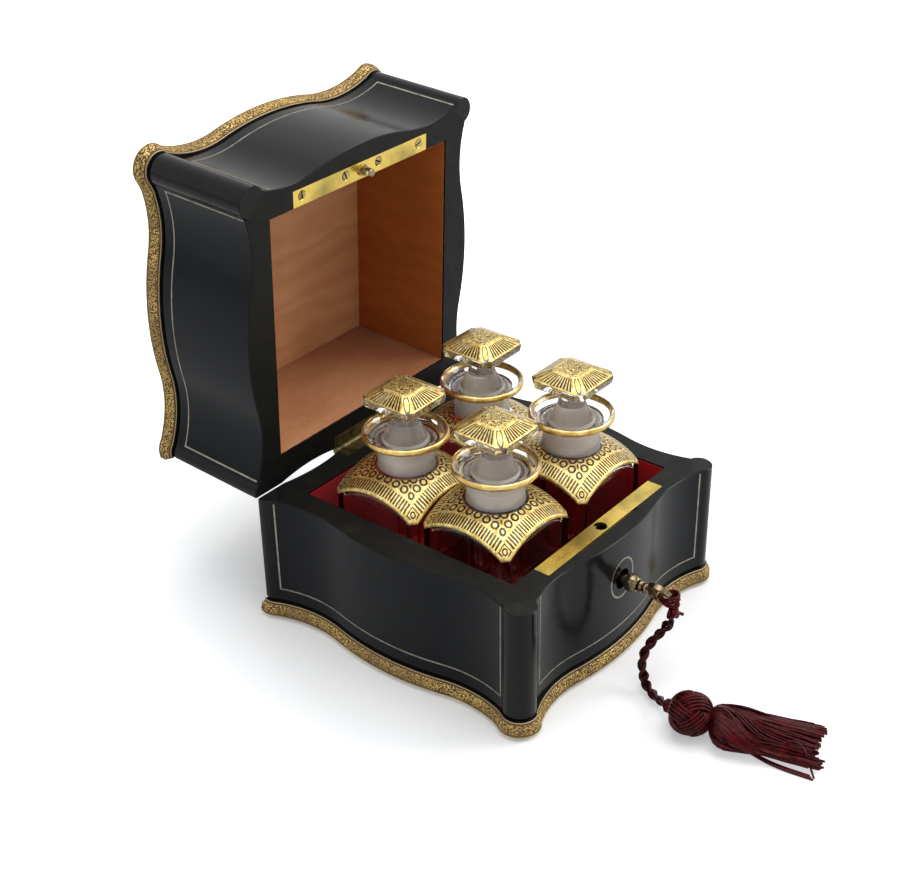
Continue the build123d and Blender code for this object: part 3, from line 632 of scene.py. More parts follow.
def gilded_crown():
    """Barred facets on the four slopes, a lens at each corner, and an etched plateau."""
    material, tree, shader = new_finish("gilded_crown")
    along, out, both, z = folded_square(tree, 0.12)
    edge = (out - PLATEAU_TO) * 0.75 + 4.3
    inside = edge - along
    bars = (along / edge * 5.5).math("FRACT").between(0.20, 0.76) & out.between(6.8, 11.6) & (inside > 0.6)
    gold_facet = (inside > 0.0) & ~bars
    lens = distance((both * DIAGONAL - 11.4) / 3.0, (out - along) * DIAGONAL / 0.85)
    gold_corner = (inside < 0.0) & ~(lens.between(1.0, 1.45) & (inside < -0.35))
    slope = (z > 0.0) & (out > PLATEAU_TO) & (gold_facet | gold_corner)
    squiggle = add_node(tree, "TexVoronoi", {"Vector": coordinates(tree, attribute="local"), "Scale": 0.62},
                        feature="DISTANCE_TO_EDGE")
    etched = Field(squiggle.outputs["Distance"]).between(0.10, 0.26) & (out < 5.2)
    plateau = (out < PLATEAU_TO) & ~etched
    # The gaps are tinted dark brown: painted shade for the dark seen through the clear glass.
    gild(shader, worn(slope | plateau, 0.74), (0.055, 0.035, 0.02))
    return material


def gold_band():
    material, tree, shader = new_finish("gold_band")
    tone = noise(coordinates(tree), 260.0)
    colour = ramp(tone, (0.3, (0.48, 0.30, 0.08)), (0.55, (0.78, 0.54, 0.19)), (0.75, (0.90, 0.70, 0.35)))
    fill(shader, {"Base Color": colour, "Metallic": 1.0, "Roughness": ramp(tone, (0.3, 0.34), (0.7, 0.22))})
    bump(shader, tone, 0.15, 0.0002)
    return material


glass = clear_glass()
frosted = frosted_glass("frosted_glass", 0.80)
frosted_plug = frosted_glass("frosted_plug", 0.5)
shoulder_gilding = gilded_shoulder()
crown_gilding = gilded_crown()
lip_gold = gold_band()
print("the shoulder's gilding takes", len(shoulder_gilding.node_tree.nodes), "nodes")

# %% [markdown]
# ## Bottles
# A bottle is one closed skin: up the flat sides, over a domed shoulder that the sides cut into arches, up the
# ground neck, round the dished lip, and down again inside to the thick bottom. One loop of vertices is extruded
# through a list of rings. A ring is a square with cut corners or a circle, and both have the same number of
# vertices at matching places, so a square turns into a circle without a seam.

# %% Rings
LONG_STEPS, SHORT_STEPS = 20, 4


def square_ring(half, cut, height):
    """A square with cut corners. The height is a number, or a rule that gives it from the place."""
    flat = half - cut
    corners = [(half, -flat), (half, flat), (flat, half), (-flat, half),
               (-half, flat), (-half, -flat), (-flat, -half), (flat, -half)]
    ring = []
    for k, start in enumerate(corners):
        end = corners[(k + 1) % 8]
        steps = LONG_STEPS if k % 2 == 0 else SHORT_STEPS
        for j in range(steps):
            x, y = (start[i] + (end[i] - start[i]) * j / steps for i in (0, 1))
            ring.append(Vector((x, y, height(x, y) if callable(height) else height)))
    return ring


def round_ring(radius, height, half=20.4, cut=2.4):
    """A circle whose vertices stand in the same directions as those of the square."""
    ring = []
    for point in square_ring(half, cut, 0.0):
        x, y = Vector((point.x, point.y)).normalized() * radius
        ring.append(Vector((x, y, height(x, y) if callable(height) else height)))
    return ring


def between_rings(first, last, share, height):
    ring = []
    for a, b in zip(first, last):
        p = a.lerp(b, share)
        p.z = height(p.x, p.y) if callable(height) else height
        ring.append(p)
    return ring


def loft(bm, rings, finishes):
    """Extrudes one loop through the rings and closes both ends. Each ring has its material number."""
    loop = bmesh.ops.create_circle(bm, segments=len(rings[0]), radius=1.0)["verts"]
    for vert, place in zip(loop, rings[0]):
        vert.co = place * MM
    edges = [bm.edges.get((loop[i], loop[(i + 1) % len(loop)])) for i in range(len(loop))]
    faces = bmesh.ops.contextual_create(bm, geom=edges, mat_nr=finishes[0])["faces"]
    for ring, finish in zip(rings[1:], finishes[1:]):
        made = bmesh.ops.extrude_edge_only(bm, edges=edges)["geom"]
        fresh = {v for v in made if isinstance(v, bmesh.types.BMVert)}
        for face in (f for f in made if isinstance(f, bmesh.types.BMFace)):
            face.material_index = finish
            faces.append(face)
        loop = [next(e.other_vert(v) for e in v.link_edges if e.other_vert(v) in fresh) for v in loop]
        for vert, place in zip(loop, ring):
            vert.co = place * MM
        edges = [bm.edges.get((loop[i], loop[(i + 1) % len(loop)])) for i in range(len(loop))]
    faces += bmesh.ops.contextual_create(bm, geom=edges, mat_nr=finishes[-1])["faces"]
    bmesh.ops.recalc_face_normals(bm, faces=faces)


def glass_mesh(name, steps, centre_height=0.0):
    """A lofted mesh that knows where each vertex is from the piece's own centre, in millimetres."""
    bm = bmesh.new()
    loft(bm, [ring for ring, finish in steps], [finish for ring, finish in steps])
    mesh = mesh_of(name, bm)
    attribute = mesh.attributes.new("local", "FLOAT_VECTOR", "POINT")
    for vert, value in zip(mesh.vertices, attribute.data):
        value.vector = (vert.co.x / MM, vert.co.y / MM, vert.co.z / MM - centre_height)
    print(name, "has", len(mesh.polygons), "faces")
    return mesh


# %% Bottle
HALF, CUT = 20.4, 2.4
FOOT = 9.65
DOME_CENTRE, DOME_RADIUS, INNER_RADIUS = 33.5, 36.5, 33.1
INNER_HALF = 17.6


def dome(radius, drop=0.0):
    return lambda x, y: DOME_CENTRE + math.sqrt(max(radius ** 2 - x * x - y * y, 0.0)) - drop


GLASS, GILT, FROST, BAND = range(4)
rings = [(square_ring(HALF - 4.0, CUT, FOOT + 0.5), GLASS), (square_ring(HALF - 2.2, CUT, FOOT), GLASS),
         (square_ring(HALF - 0.5, CUT, FOOT), GLASS), (square_ring(HALF - 0.1, CUT, FOOT + 0.15), GLASS),
         (square_ring(HALF, CUT, FOOT + 0.5), GLASS),
         (square_ring(HALF, CUT, dome(DOME_RADIUS, 0.9)), GLASS),
         (square_ring(HALF, CUT, dome(DOME_RADIUS, 0.42)), GILT),
         (square_ring(HALF - 0.1, CUT, dome(DOME_RADIUS, 0.12)), GILT),
         (square_ring(HALF - 0.34, CUT, dome(DOME_RADIUS, 0.0)), GILT)]
edge_ring, neck_ring = square_ring(HALF - 0.34, CUT, 0.0), round_ring(12.5, 0.0)
for k in range(1, 13):
    rings.append((between_rings(edge_ring, neck_ring, k / 12, dome(DOME_RADIUS)), GILT))
for radius, height, finish in (
    (11.9, 67.95, GLASS), (11.4, 68.2, GLASS), (11.2, 68.6, FROST), (11.1, 69.2, FROST), (11.1, 73.0, FROST),
    (11.2, 76.6, FROST), (11.35, 77.5, FROST), (11.8, 78.4, GLASS), (12.8, 79.3, GLASS), (14.3, 79.9, GLASS),
    (15.8, 80.1, GLASS), (16.45, 80.3, BAND), (16.85, 80.75, BAND), (16.95, 81.3, BAND), (16.9, 82.0, BAND),
    (16.65, 82.5, BAND), (16.2, 82.8, BAND), (15.7, 82.9, GLASS), (15.2, 82.6, GLASS), (14.6, 81.9, GLASS),
    (13.7, 81.0, GLASS), (12.5, 80.2, GLASS), (11.2, 79.6, GLASS), (10.1, 79.3, GLASS), (9.45, 79.15, GLASS),
    (9.2, 78.8, FROST), (9.0, 74.0, FROST), (8.8, 69.5, FROST), (8.68, 66.6, FROST), (8.8, 65.9, GLASS),
    (9.3, 65.4, GLASS),
):
    rings.append((round_ring(radius, height), finish))
inner_round, inner_square = round_ring(9.9, 0.0), square_ring(INNER_HALF - 0.5, CUT, 0.0)
for k in range(0, 9):
    rings.append((between_rings(inner_round, inner_square, k / 8, dome(INNER_RADIUS)), GLASS))
rings += [(square_ring(INNER_HALF - 0.12, CUT, dome(INNER_RADIUS, 0.35)), GLASS),
          (square_ring(INNER_HALF, CUT, dome(INNER_RADIUS, 0.9)), GLASS),
          (square_ring(INNER_HALF, CUT, FOOT + 6.5), GLASS),
          (square_ring(INNER_HALF - 0.35, CUT, FOOT + 5.2), GLASS),
          (square_ring(INNER_HALF - 1.3, CUT, FOOT + 4.4), GLASS),
          (square_ring(INNER_HALF - 3.0, CUT, FOOT + 4.1), GLASS)]
bottle_mesh = glass_mesh("bottle", rings)

# %% Stopper
PLUG_FOOT, MOUTH = 67.5, 79.3
HEAD_TOP = 98.0
stopper_rings = []
for radius, height, finish in (
    (7.6, PLUG_FOOT + 0.25, FROST), (8.2, PLUG_FOOT, FROST), (8.62, PLUG_FOOT + 0.3, FROST),
    (8.75, 70.0, FROST), (8.95, 75.0, FROST), (9.1, 78.6, FROST), (9.08, MOUTH, FROST), (8.75, 80.2, FROST),
    (8.3, 81.2, GLASS), (7.6, 82.4, GLASS), (6.7, 83.9, GLASS), (5.95, 85.4, GLASS), (5.4, 86.9, GLASS),
    (5.15, 88.4, GLASS), (5.1, 89.8, GLASS),
):
    stopper_rings.append((round_ring(radius, height, 12.7, 3.3), finish))
for half, cut, height, finish in (
    (5.35, 1.7, 90.45, GLASS), (5.75, 1.75, 90.65, GLASS), (11.9, 3.05, 94.75, GLASS),
    (12.2, 3.12, 95.1, GLASS), (12.62, 3.28, 97.5, GLASS), (12.55, 3.27, 97.85, GLASS),
    (12.3, 3.22, HEAD_TOP, GILT), (6.1, 1.64, 101.25, GILT), (5.85, 1.58, 101.38, GILT),
):
    stopper_rings.append((square_ring(half, cut, height), finish))
stopper_mesh = glass_mesh("stopper", stopper_rings, HEAD_TOP)

# %% Four of each
PLACES = {"front_left": (-23.4, -21.8), "front_right": (25.0, -21.8),
          "back_left": (-25.0, 20.2), "back_right": (24.7, 22.0)}
for name, (x, y) in PLACES.items():
    for kind, source, gilding, ground in (
        ("bottle", bottle_mesh, shoulder_gilding, frosted),
        ("stopper", stopper_mesh, crown_gilding, frosted_plug),
    ):
        mesh = source.copy()
        mesh.transform(Matrix.Translation((x * MM, y * MM, 0)))
        dress(f"{kind}_cut_{name}", mesh, f"{kind}_{name}", (glass, gilding, ground, lip_gold),
              [f"{kind}_{name}"], 32.0)
print("bottles and stoppers stand at", ", ".join(PLACES))

# %% [markdown]
# ## Pressed gilt mouldings
# A strip of pressed brass leaf runs round the foot of the case and round the top of the lid. It is a small
# ovolo with foliage stamped into it and a smooth listel beside the black. Sweeping a plain section would give a
# bare pipe, so each length is a closed loop of vertices that is extruded along the serpentine outline, and the
# leaves are pushed out of its face on the way. How high a point of the face stands is kept in an attribute
# named relief, and the finish darkens the hollows with it.

# %% The outline of one side
BULGE_OUT, WAIST_OUT, WAIST_AT, WAIST_RADIUS = 64.1, 59.7, 37.5, 52.0
# Each corner column as its side sees it: how far along, how far out, its radius, how widely the crease beside
# it is eased, and whether the back planes it
HALVES = {"front": ((58.3, 59.2, 6.3, 46.0, False), (60.4, 59.3, 5.4, 14.0, False)),
          "right": ((59.3, 60.4, 5.4, 14.0, False), (61.0, 60.4, 5.5, 14.0, True)),
          "left": ((61.0, 59.4, 5.5, 14.0, True), (59.2, 58.3, 6.3, 20.0, False))}
BACK_OUT, BACK_HOLLOW_OUT, BACK_HOLLOW_FROM, BACK_HOLLOW_TO = 62.6, 61.0, 17.5, 48.5
BULGE_RADIUS = (WAIST_AT ** 2 + (BULGE_OUT - WAIST_OUT) ** 2) / (2 * (BULGE_OUT - WAIST_OUT)) - WAIST_RADIUS
INSET = 0.8
PLACE = {"front": lambda t, out: (t, -out), "right": lambda t, out: (out, t),
         "back": lambda t, out: (-t, out), "left": lambda t, out: (-out, -t)}


def arc_run(centre, radius, first, last, step, hollow=False):
    """Points and outward normals along an arc. A hollow's normals face its centre."""
    count = max(2, round(abs(last - first) * radius / step))
    run = []
    for k in range(count + 1):
        a = first + (last - first) * k / count
        spoke = Vector((math.cos(a), math.sin(a)))
        run.append((Vector(centre) + spoke * radius, -spoke if hollow else spoke))
    return run


def straight_run(start, end, normal, step):
    count = max(1, round((Vector(end) - Vector(start)).length / step))
    return [(Vector(start).lerp(Vector(end), k / count), Vector(normal)) for k in range(count + 1)]


def angle_of(v):
    return math.atan2(v[1], v[0])


def serpentine_half(along, out, radius, easing, planed, step):
    """From the middle of a serpentine side to its mitre: bulge, hollow, eased crease and corner column."""
    bulge = Vector((0, BULGE_OUT - BULGE_RADIUS))
    hollow = Vector((WAIST_AT, WAIST_OUT + WAIST_RADIUS))
    column = Vector((along, out))
    r_bulge, r_hollow, r_column = BULGE_RADIUS - INSET, WAIST_RADIUS + INSET, radius - INSET
    turn = angle_of(hollow - bulge)
    run = arc_run(bulge, r_bulge, math.pi / 2, turn, step)
    # Forty halvings find the arc of the crease that touches both the hollow and the column
    low, high = turn + math.pi, angle_of(column - hollow) + 2 * math.pi
    for _ in range(40):
        middle = (low + high) / 2
        ease = hollow + Vector((math.cos(middle), math.sin(middle))) * (r_hollow - easing)
        if (ease - column).length > r_column + easing:
            low = middle
        else:
            high = middle
    run += arc_run(hollow, r_hollow, turn + math.pi, low, step, hollow=True)[1:]
    crease_end = angle_of(column - ease)
    run += arc_run(ease, easing, low - 2 * math.pi, crease_end, step, hollow=True)[1:]
    corner_start = angle_of(ease - column)
    if not planed:
        return run + arc_run(column, r_column, corner_start, math.pi / 4, step)[1:]
    corner = math.acos((BACK_OUT - INSET - along) / r_column)
    run += arc_run(column, r_column, corner_start, corner, step)[1:-1]
    spoke = Vector((math.cos(corner), math.sin(corner)))
    edge = column + spoke * r_column
    mitre = (spoke + Vector((1, 0))).normalized()
    run.append((edge, mitre / mitre.dot(spoke)))
    end = BACK_OUT - INSET
    return run + straight_run(edge, (end, end), (1, 0), step)[1:-1] + [(Vector((end, end)), Vector((1, 1)))]


def flat_half(step):
    """From the middle of the planed back to its mitre."""
    flat, deep = BACK_OUT - INSET, BACK_HOLLOW_OUT - INSET
    half, sink = (BACK_HOLLOW_TO - BACK_HOLLOW_FROM) / 2, flat - deep
    radius = (half ** 2 + sink ** 2) / (2 * sink)
    reach = math.asin(half / radius)
    centre = (BACK_HOLLOW_FROM + half, deep + radius)
    run = straight_run((0, flat), (BACK_HOLLOW_FROM, flat), (0, 1), step)
    run += arc_run(centre, radius, -math.pi / 2 - reach, -math.pi / 2 + reach, step, hollow=True)[1:]
    run += straight_run((BACK_HOLLOW_TO, flat), (flat, flat), (0, 1), step)[1:-1]
    return run + [(Vector((flat, flat)), Vector((1, 1)))]


def side_run(name, step):
    """The whole of one side, from mitre to mitre."""
    if name == "back":
        halves = flat_half(step), flat_half(step)
    else:
        halves = [serpentine_half(*corner, step) for corner in HALVES[name]]
    first = [(Vector((-p.x, p.y)), Vector((-n.x, n.y))) for p, n in reversed(halves[0])]
    return first + halves[1][1:]


run = side_run("front", 0.27)
print("front moulding has", len(run), "sections from", [round(v, 2) for v in run[0][0]],
      "to", [round(v, 2) for v in run[-1][0]])

# %% Its section and its leaves
FOOT_OUT, CROWN_OUT, MOULD_LOW = 2.9, 1.6, 1.5
random.seed(31)


def ovolo(count):
    """Points and normals up the swelling face: out from the rail, up from the foot."""
    a, b, c = Vector((FOOT_OUT, 0.9)), Vector((FOOT_OUT - 0.3, 3.48)), Vector((CROWN_OUT, 5.3))
    ux, uy = (a + b) / 2, (b + c) / 2
    da, db = (b - a).orthogonal(), (c - b).orthogonal()
    span = da.x * db.y - da.y * db.x
    k = ((uy.x - ux.x) * db.y - (uy.y - ux.y) * db.x) / span
    centre = ux + da * k
    first, last = angle_of(a - centre), angle_of(c - centre)
    return arc_run(centre, (a - centre).length, first, last, (a - centre).length * abs(last - first) / count)


FACE = ovolo(30)
FACE_LONG = sum((b[0] - a[0]).length for a, b in zip(FACE, FACE[1:]))


def foliage(length):
    """Leaves and berries for one length: middle along and up, slant, half length and half width."""
    sprigs = []
    count = round(length / 0.72)
    for k in range(count):
        along = (k + 0.5) * length / count
        for row in (0.09, 0.25, 0.42, 0.58, 0.75, 0.91):
            slant = math.radians(random.uniform(-85, 85))
            big = random.random()
            sprigs.append((along + random.uniform(-0.35, 0.35), FACE_LONG * row + random.uniform(-0.25, 0.25),
                           slant, 0.38 + 0.42 * big, 0.22 + 0.12 * big))
    return sprigs


def relief_at(along, up_face, sprigs):
    """How far the leaf stands up at a point of the face, from 0 in the ground to 0.4 at a leaf's middle."""
    best = 0.0
    for x, y, slant, long, wide in sprigs:
        dx, dy = along - x, up_face - y
        if abs(dx) > long or abs(dy) > long:
            continue
        a = (dx * math.cos(slant) + dy * math.sin(slant)) / long
        b = (dy * math.cos(slant) - dx * math.sin(slant)) / (wide * (1 + 0.2 * math.cos(12 * a)))
        q = a * a + b * b
        if q < 1:
            vein = 0.12 * math.exp(-(b / 0.2) ** 2) if long > 0.6 else 0.0
            best = max(best, 0.40 * math.sqrt(1 - q) - vein)
    return best


def moulding_mesh(name, step=0.24):
    """One mitred length, with its leaves, standing at the foot of the case."""
    run = side_run(name, step)
    along = [0.0]
    for (a, _), (b, _) in zip(run, run[1:]):
        along.append(along[-1] + (b - a).length)
    sprigs = foliage(along[-1])
    plain_low = [(-2.4, 0.0), (1.4, 0.0), (FOOT_OUT - 0.3, 0.0), (FOOT_OUT, 0.35)]
    # The last two points, with relief 1, are the ledge behind the listel, which the finish paints black as
    # shade.
    plain_high = [(CROWN_OUT - 0.14, 5.40, 0.1), (CROWN_OUT - 0.12, 5.52, 0.1), (CROWN_OUT + 0.02, 5.62, 0.62),
                  (CROWN_OUT + 0.02, 5.86, 0.62), (CROWN_OUT - 0.10, 6.0, 0.62), (CROWN_OUT - 0.42, 6.0, 0.62),
                  (CROWN_OUT - 0.50, 5.86, 0.62), (CROWN_OUT - 0.54, 5.7, 1.0), (-2.4, 5.7, 1.0)]
    rings, stands = [], []
    for (point, normal), s in zip(run, along):
        near = [g for g in sprigs if abs(g[0] - s) < 1.0]
        ring, up_face = [], 0.0
        section = [(out, high, 0.35) for out, high in plain_low]
        for k, (spot, face_normal) in enumerate(FACE):
            if k:
                up_face += (spot - FACE[k - 1][0]).length
            edge = min(up_face, FACE_LONG - up_face) / 0.5
            stand = relief_at(s, up_face, near) * min(1.0, edge)
            moved = spot + face_normal * (stand - 0.24)
            section.append((moved.x, moved.y, stand))
        section += plain_high
        for out, high, stand in section:
            x, y = PLACE[name](point.x + normal.x * out, point.y + normal.y * out)
            ring.append(Vector((x, y, MOULD_LOW + high)))
            stands.append(stand)
        rings.append(ring)
    bm = bmesh.new()
    loft(bm, rings, [0] * len(rings))
    mesh = mesh_of(f"moulding_{name}", bm)
    attribute = mesh.attributes.new("relief", "FLOAT", "POINT")
    for value, stand in zip(attribute.data, stands):
        value.value = stand
    return mesh


# %% Gilt leaf
def gilt_leaf():
    """Gold on the leaves, grime between them. The relief is 0.62 on the listel
    and 1 on the ledge behind it, which is painted black as shade.
    """
    material, tree, shader = new_finish("gilt_leaf")
    vector = coordinates(tree)
    height = Field(add_node(tree, "Attribute", {}, attribute_name="relief").outputs["Fac"])
    grime = noise(vector, 240.0, 4.0, 0.65)
    worn_height = height + (grime - 0.5) * 0.34
    leaf = ramp(worn_height, (0.0, (0.035, 0.017, 0.005)), (0.12, (0.12, 0.062, 0.015)),
                (0.23, (0.42, 0.26, 0.07)), (0.35, (0.70, 0.50, 0.17)), (0.50, (0.94, 0.75, 0.34)))
    patches = ramp(noise(vector, 38.0, 3.0), (0.40, 0.0), (0.70, 0.62))
    specks = ramp(noise(vector, 2300.0, 2.0, 0.6), (0.36, 0.75), (0.46, 0.0))
    brown = mix_colour(specks, mix_colour(patches, leaf, (0.22, 0.125, 0.05)), (0.05, 0.028, 0.010))
    listel = mix_colour(ramp(height, (0.56, 0.0), (0.6, 1.0)), brown, (0.36, 0.27, 0.14))
    # Painted shade: the ledge behind the listel is black, for the dark gap between the moulding and the wall.
    black = height > 0.82
    fill(shader, {"Base Color": mix_colour(black, listel, (0.006, 0.006, 0.006)),
                  "Metallic": ramp(worn_height, (0.05, 0.15), (0.3, 0.85)) * ~black,
                  "Roughness": ramp(grime, (0.35, 0.3), (0.7, 0.5))})
    bump(shader, noise(vector, 1500.0, 3.0, 0.6), 0.35, 0.0002)
    return material


leaf_finish = gilt_leaf()

# %% The eight lengths
LID_TOP = 107.9
upside_down = Matrix.Translation((0, 0, (LID_TOP + MOULD_LOW) * MM)) @ Matrix.Diagonal((1, 1, -1, 1))
for name in PLACE:
    foot_mesh = moulding_mesh(name)
    lid_mesh = moulding_mesh(name)
    lid_mesh.transform(upside_down)
    lid_mesh.flip_normals()
    lid_mesh.transform(opened)
    dress(f"leaf_moulding_foot_{name}", foot_mesh, "casket", leaf_finish, [f"plinth_moulding_{name}"],
          60.0)
    dress(f"leaf_moulding_lid_{name}", lid_mesh, "lid", leaf_finish, [f"lid_moulding_{name}"],
          60.0)
    print(name, "moulding has", len(foot_mesh.polygons), "faces")

# %% [markdown]
# ## One line of stringing
# Just beside the thick front left column, a brass line runs up the front of the case, and up the front of the
# lid. Each is a thin strip let into the curved face, so it is turned as the face is there.

# %% Strips beside the column
STRIP_AT, STRIP_WIDE, STRIP_DEEP, STRIP_PROUD = -48.4, 0.6, 0.4, 0.03
bend = WAIST_RADIUS ** 2 - (abs(STRIP_AT) - WAIST_AT) ** 2
face_out = WAIST_OUT + WAIST_RADIUS - math.sqrt(bend)
face_turn = math.asin((abs(STRIP_AT) - WAIST_AT) / WAIST_RADIUS)
for name, low, high, body, place in (
    ("case", 14.2, 54.2, "casket", Matrix()),
    ("lid", 55.95, 95.75, "lid", opened),
):
    bm = bmesh.new()
    size = Matrix.Diagonal((STRIP_WIDE, STRIP_DEEP + STRIP_PROUD, high - low, 1))
    bmesh.ops.create_cube(bm, size=1.0, matrix=size)
    bmesh.ops.bevel(bm, geom=bm.edges[:], offset=0.012, segments=1, profile=0.5, affect="EDGES", material=-1)
    middle = Vector((STRIP_AT, -face_out, (low + high) / 2))
    turned = Matrix.Rotation(face_turn, 4, "Z") @ Matrix.Translation((0, (STRIP_DEEP - STRIP_PROUD) / 2, 0))
    placed = place @ Matrix.Scale(MM, 4) @ Matrix.Translation(middle) @ turned
    bmesh.ops.transform(bm, matrix=placed, verts=bm.verts[:])
    piece(f"string_line_{name}", bm, body, string_line, [], 30.0)
print("strips stand", round(face_out, 2), "mm out, turned", round(math.degrees(face_turn), 1), "degrees")

# %% [markdown]
# ## Linings
# Silk is stretched over the inside of the lid, and a red velvet paper lines the well. A stretched sheet is
# never quite flat. It rises and sinks a little, and fine puckers run in from its edges where it was pasted
# down. Each sheet is a grid that is bent that way and then given its thickness.

# %% Stretched sheets
def lining(name, corner, across, along, inward, finish, replaced, lid, sag=0.35, pucker=0.16, thick=0.35):
    """One sheet on a wall. Its corner and its edges are in millimetres, in the shut lid or in the case."""
    corner, across, along, inward = (Vector(v) for v in (corner, across, along, inward))
    wide, long = across.length, along.length
    bm = bmesh.new()
    bmesh.ops.create_grid(bm, x_segments=72, y_segments=44, size=0.5)
    for vert in bm.verts:
        u, w = vert.co.x + 0.5, vert.co.y + 0.5
        sides = (u * wide, (1 - u) * wide, w * long, (1 - w) * long)
        edge = min(sides)
        soft = ripples.noise(Vector((u * wide / 17 + len(name), w * long / 17, 0.3)))
        run = w * long if min(sides[:2]) < min(sides[2:]) else u * wide
        strayed = 3 * ripples.noise(Vector((run / 6, len(name) * 1.7, 0)))
        fine = math.sin(run / 0.9 + strayed) * math.exp(-edge / 4.5)
        rise = (0.12 + sag * (0.5 + 0.5 * soft)) * min(1.0, edge / 5) + pucker * (0.5 + 0.5 * fine)
        vert.co = (corner + across * u + along * w + inward * rise) * MM
    bmesh.ops.recalc_face_normals(bm, faces=bm.faces[:])
    if bm.faces[:][0].normal.dot(inward) < 0:
        bmesh.ops.reverse_faces(bm, faces=bm.faces[:])
    bmesh.ops.solidify(bm, geom=bm.faces[:], thickness=-thick * MM)
    bmesh.ops.recalc_face_normals(bm, faces=bm.faces[:])
    if lid:
        bmesh.ops.transform(bm, matrix=opened, verts=bm.verts[:])
    sheet = piece(name, bm, "lid" if lid else "casket", finish, [replaced], 60.0)


LOW, HIGH, INNER = 55.75, 102.9, 49.9
SILK_TOP, FLOOR_AT, PAPER_FOOT, PAPER_TOP = 103.0, 9.05, 9.7, 54.3
WIDE, DEEP, TALL = (2 * INNER, 0, 0), (0, 2 * INNER, 0), (0, 0, HIGH - LOW)
# The front and side sheets take the copy of the silk that is painted in shade.
for name, corner, across, along, inward, finish in (
    ("top", (-INNER, -INNER, SILK_TOP), WIDE, DEEP, (0, 0, -1), moire_lit),
    ("back", (-INNER, INNER, LOW), WIDE, TALL, (0, -1, 0), moire_low_shaded),
    ("front", (-INNER, -INNER, LOW), WIDE, TALL, (0, 1, 0), moire_shaded),
    ("left", (-INNER, -INNER, LOW), DEEP, TALL, (1, 0, 0), moire_shaded),
    ("right", (INNER, -INNER, LOW), DEEP, TALL, (-1, 0, 0), moire_shaded),
):
    lining(f"silk_sheet_{name}", corner, across, along, inward, finish, f"silk_{name}", True)
lining("well_paper_floor", (-INNER, -INNER, FLOOR_AT), WIDE, DEEP, (0, 0, 1), red_paper,
       "well_floor_pad", False, 0.06, 0.04, 0.25)
for name, corner, across, inward in (
    ("front", (-INNER, -INNER, PAPER_FOOT), WIDE, (0, 1, 0)),
    ("back", (-INNER, INNER, PAPER_FOOT), WIDE, (0, -1, 0)),
    ("left", (-INNER, -INNER, PAPER_FOOT), DEEP, (1, 0, 0)),
    ("right", (INNER, -INNER, PAPER_FOOT), DEEP, (-1, 0, 0)),
):
    lining(f"well_paper_{name}", corner, across, (0, 0, PAPER_TOP - PAPER_FOOT), inward, red_paper,
           f"well_lining_{name}", False, 0.10, 0.06, 0.25)
print("ten sheets line the lid and the well")

# %% [markdown]
# ## Screws of the link plate
# Four brass screws hold the link plate. Each has a flat head with a rounded rim and a deep slot, and lies in a
# cup painted near black, painted shade that shows as a dark ring round it.

# %% Slotted screws
HEAD_DEEP = 0.34 * MM
HEAD_RADIUS, HALF_SLOT = 1.80 * MM, 0.30 * MM
SCREWS_AT, SCREWS_OUT, SCREWS_SUNK = (-33.0, -9.3, 9.3, 33.0), -53.8, 0.06


def half_disc(bm, radius, slot, turn):
    """Half of a slotted head: a disc cut off beside the slot, with a rounded rim."""
    cut = math.asin(slot / radius)
    loop = [turn @ Vector((math.cos(a) * radius, math.sin(a) * radius, -HEAD_DEEP))
            for a in (cut + (math.pi - 2 * cut) * k / 14 for k in range(15))]
    verts = [bm.verts.new(v) for v in loop]
    cap = bmesh.ops.contextual_create(bm, geom=verts)["faces"]
    grown = bmesh.ops.extrude_face_region(bm, geom=cap)["geom"]
    top = [v for v in grown if isinstance(v, bmesh.types.BMVert)]
    bmesh.ops.translate(bm, vec=(0, 0, HEAD_DEEP), verts=top)
    rim = [e for e in {e for v in top for e in v.link_edges} if all(v in top for v in e.verts)]
    bmesh.ops.bevel(bm, geom=rim, offset=0.12 * MM, segments=2, affect="EDGES")


def screw_head(radius, slot):
    """A slotted head whose face is at height 0, in a cup painted dark as shade, whose rim is the gap round the
    head.
    """
    bm = bmesh.new()
    bmesh.ops.create_cone(bm, cap_ends=True, segments=28, radius1=radius * 1.14, radius2=radius * 1.14,
                          depth=0.5 * MM, matrix=Matrix.Translation((0, 0, -0.29 * MM)))
    floor_face = max(bm.faces, key=lambda f: f.calc_center_median().z)
    bmesh.ops.inset_individual(bm, faces=[floor_face], thickness=radius * 0.18)
    bmesh.ops.translate(bm, vec=(0, 0, 0.05 * MM - HEAD_DEEP), verts=floor_face.verts[:])
    # The cup is painted near black: painted shade round the head.
    for face in bm.faces:
        face.material_index = 1
    for side in (0, math.pi):
        half_disc(bm, radius * 0.95, slot, Matrix.Rotation(side, 3, "Z"))
    return bm


bm = bmesh.new()
random.seed(9)
for x in SCREWS_AT:
    one_mesh = mesh_of("screw", screw_head(HEAD_RADIUS, HALF_SLOT))
    turned = Matrix.Rotation(random.uniform(0, math.pi), 4, "Z") @ Matrix.Rotation(math.pi, 4, "X")
    spot = Matrix.Translation(Vector((x, SCREWS_OUT, LID_RIM - SCREWS_SUNK)) * MM)
    one_mesh.transform(opened @ spot @ turned)
    bm.from_mesh(one_mesh)
    bpy.data.meshes.remove(one_mesh)
bmesh.ops.recalc_face_normals(bm, faces=bm.faces[:])
print("screws have", len(bm.faces), "faces")
piece("slotted_screws", bm, "lid", [screw_brass, gap_painted_shade], ["link_plate_screws"], 30.0)

# %% [markdown]
# ## Silk threads
# The loop, the cord, the ball and the skirt are all made of thread. A thread is a round tube that is extruded
# along a line of points. The directions across the line turn as little as they can on the way, so the tube
# doesn't twist.

# %% Threads
def resampled(points, step):
    """Evenly spaced points along a line."""
    result, left = [points[0].copy()], step
    for a, b in zip(points, points[1:]):
        long = (b - a).length
        at = left
        while at <= long:
            result.append(a.lerp(b, at / long))
            at += step
        left = at - long
    return result


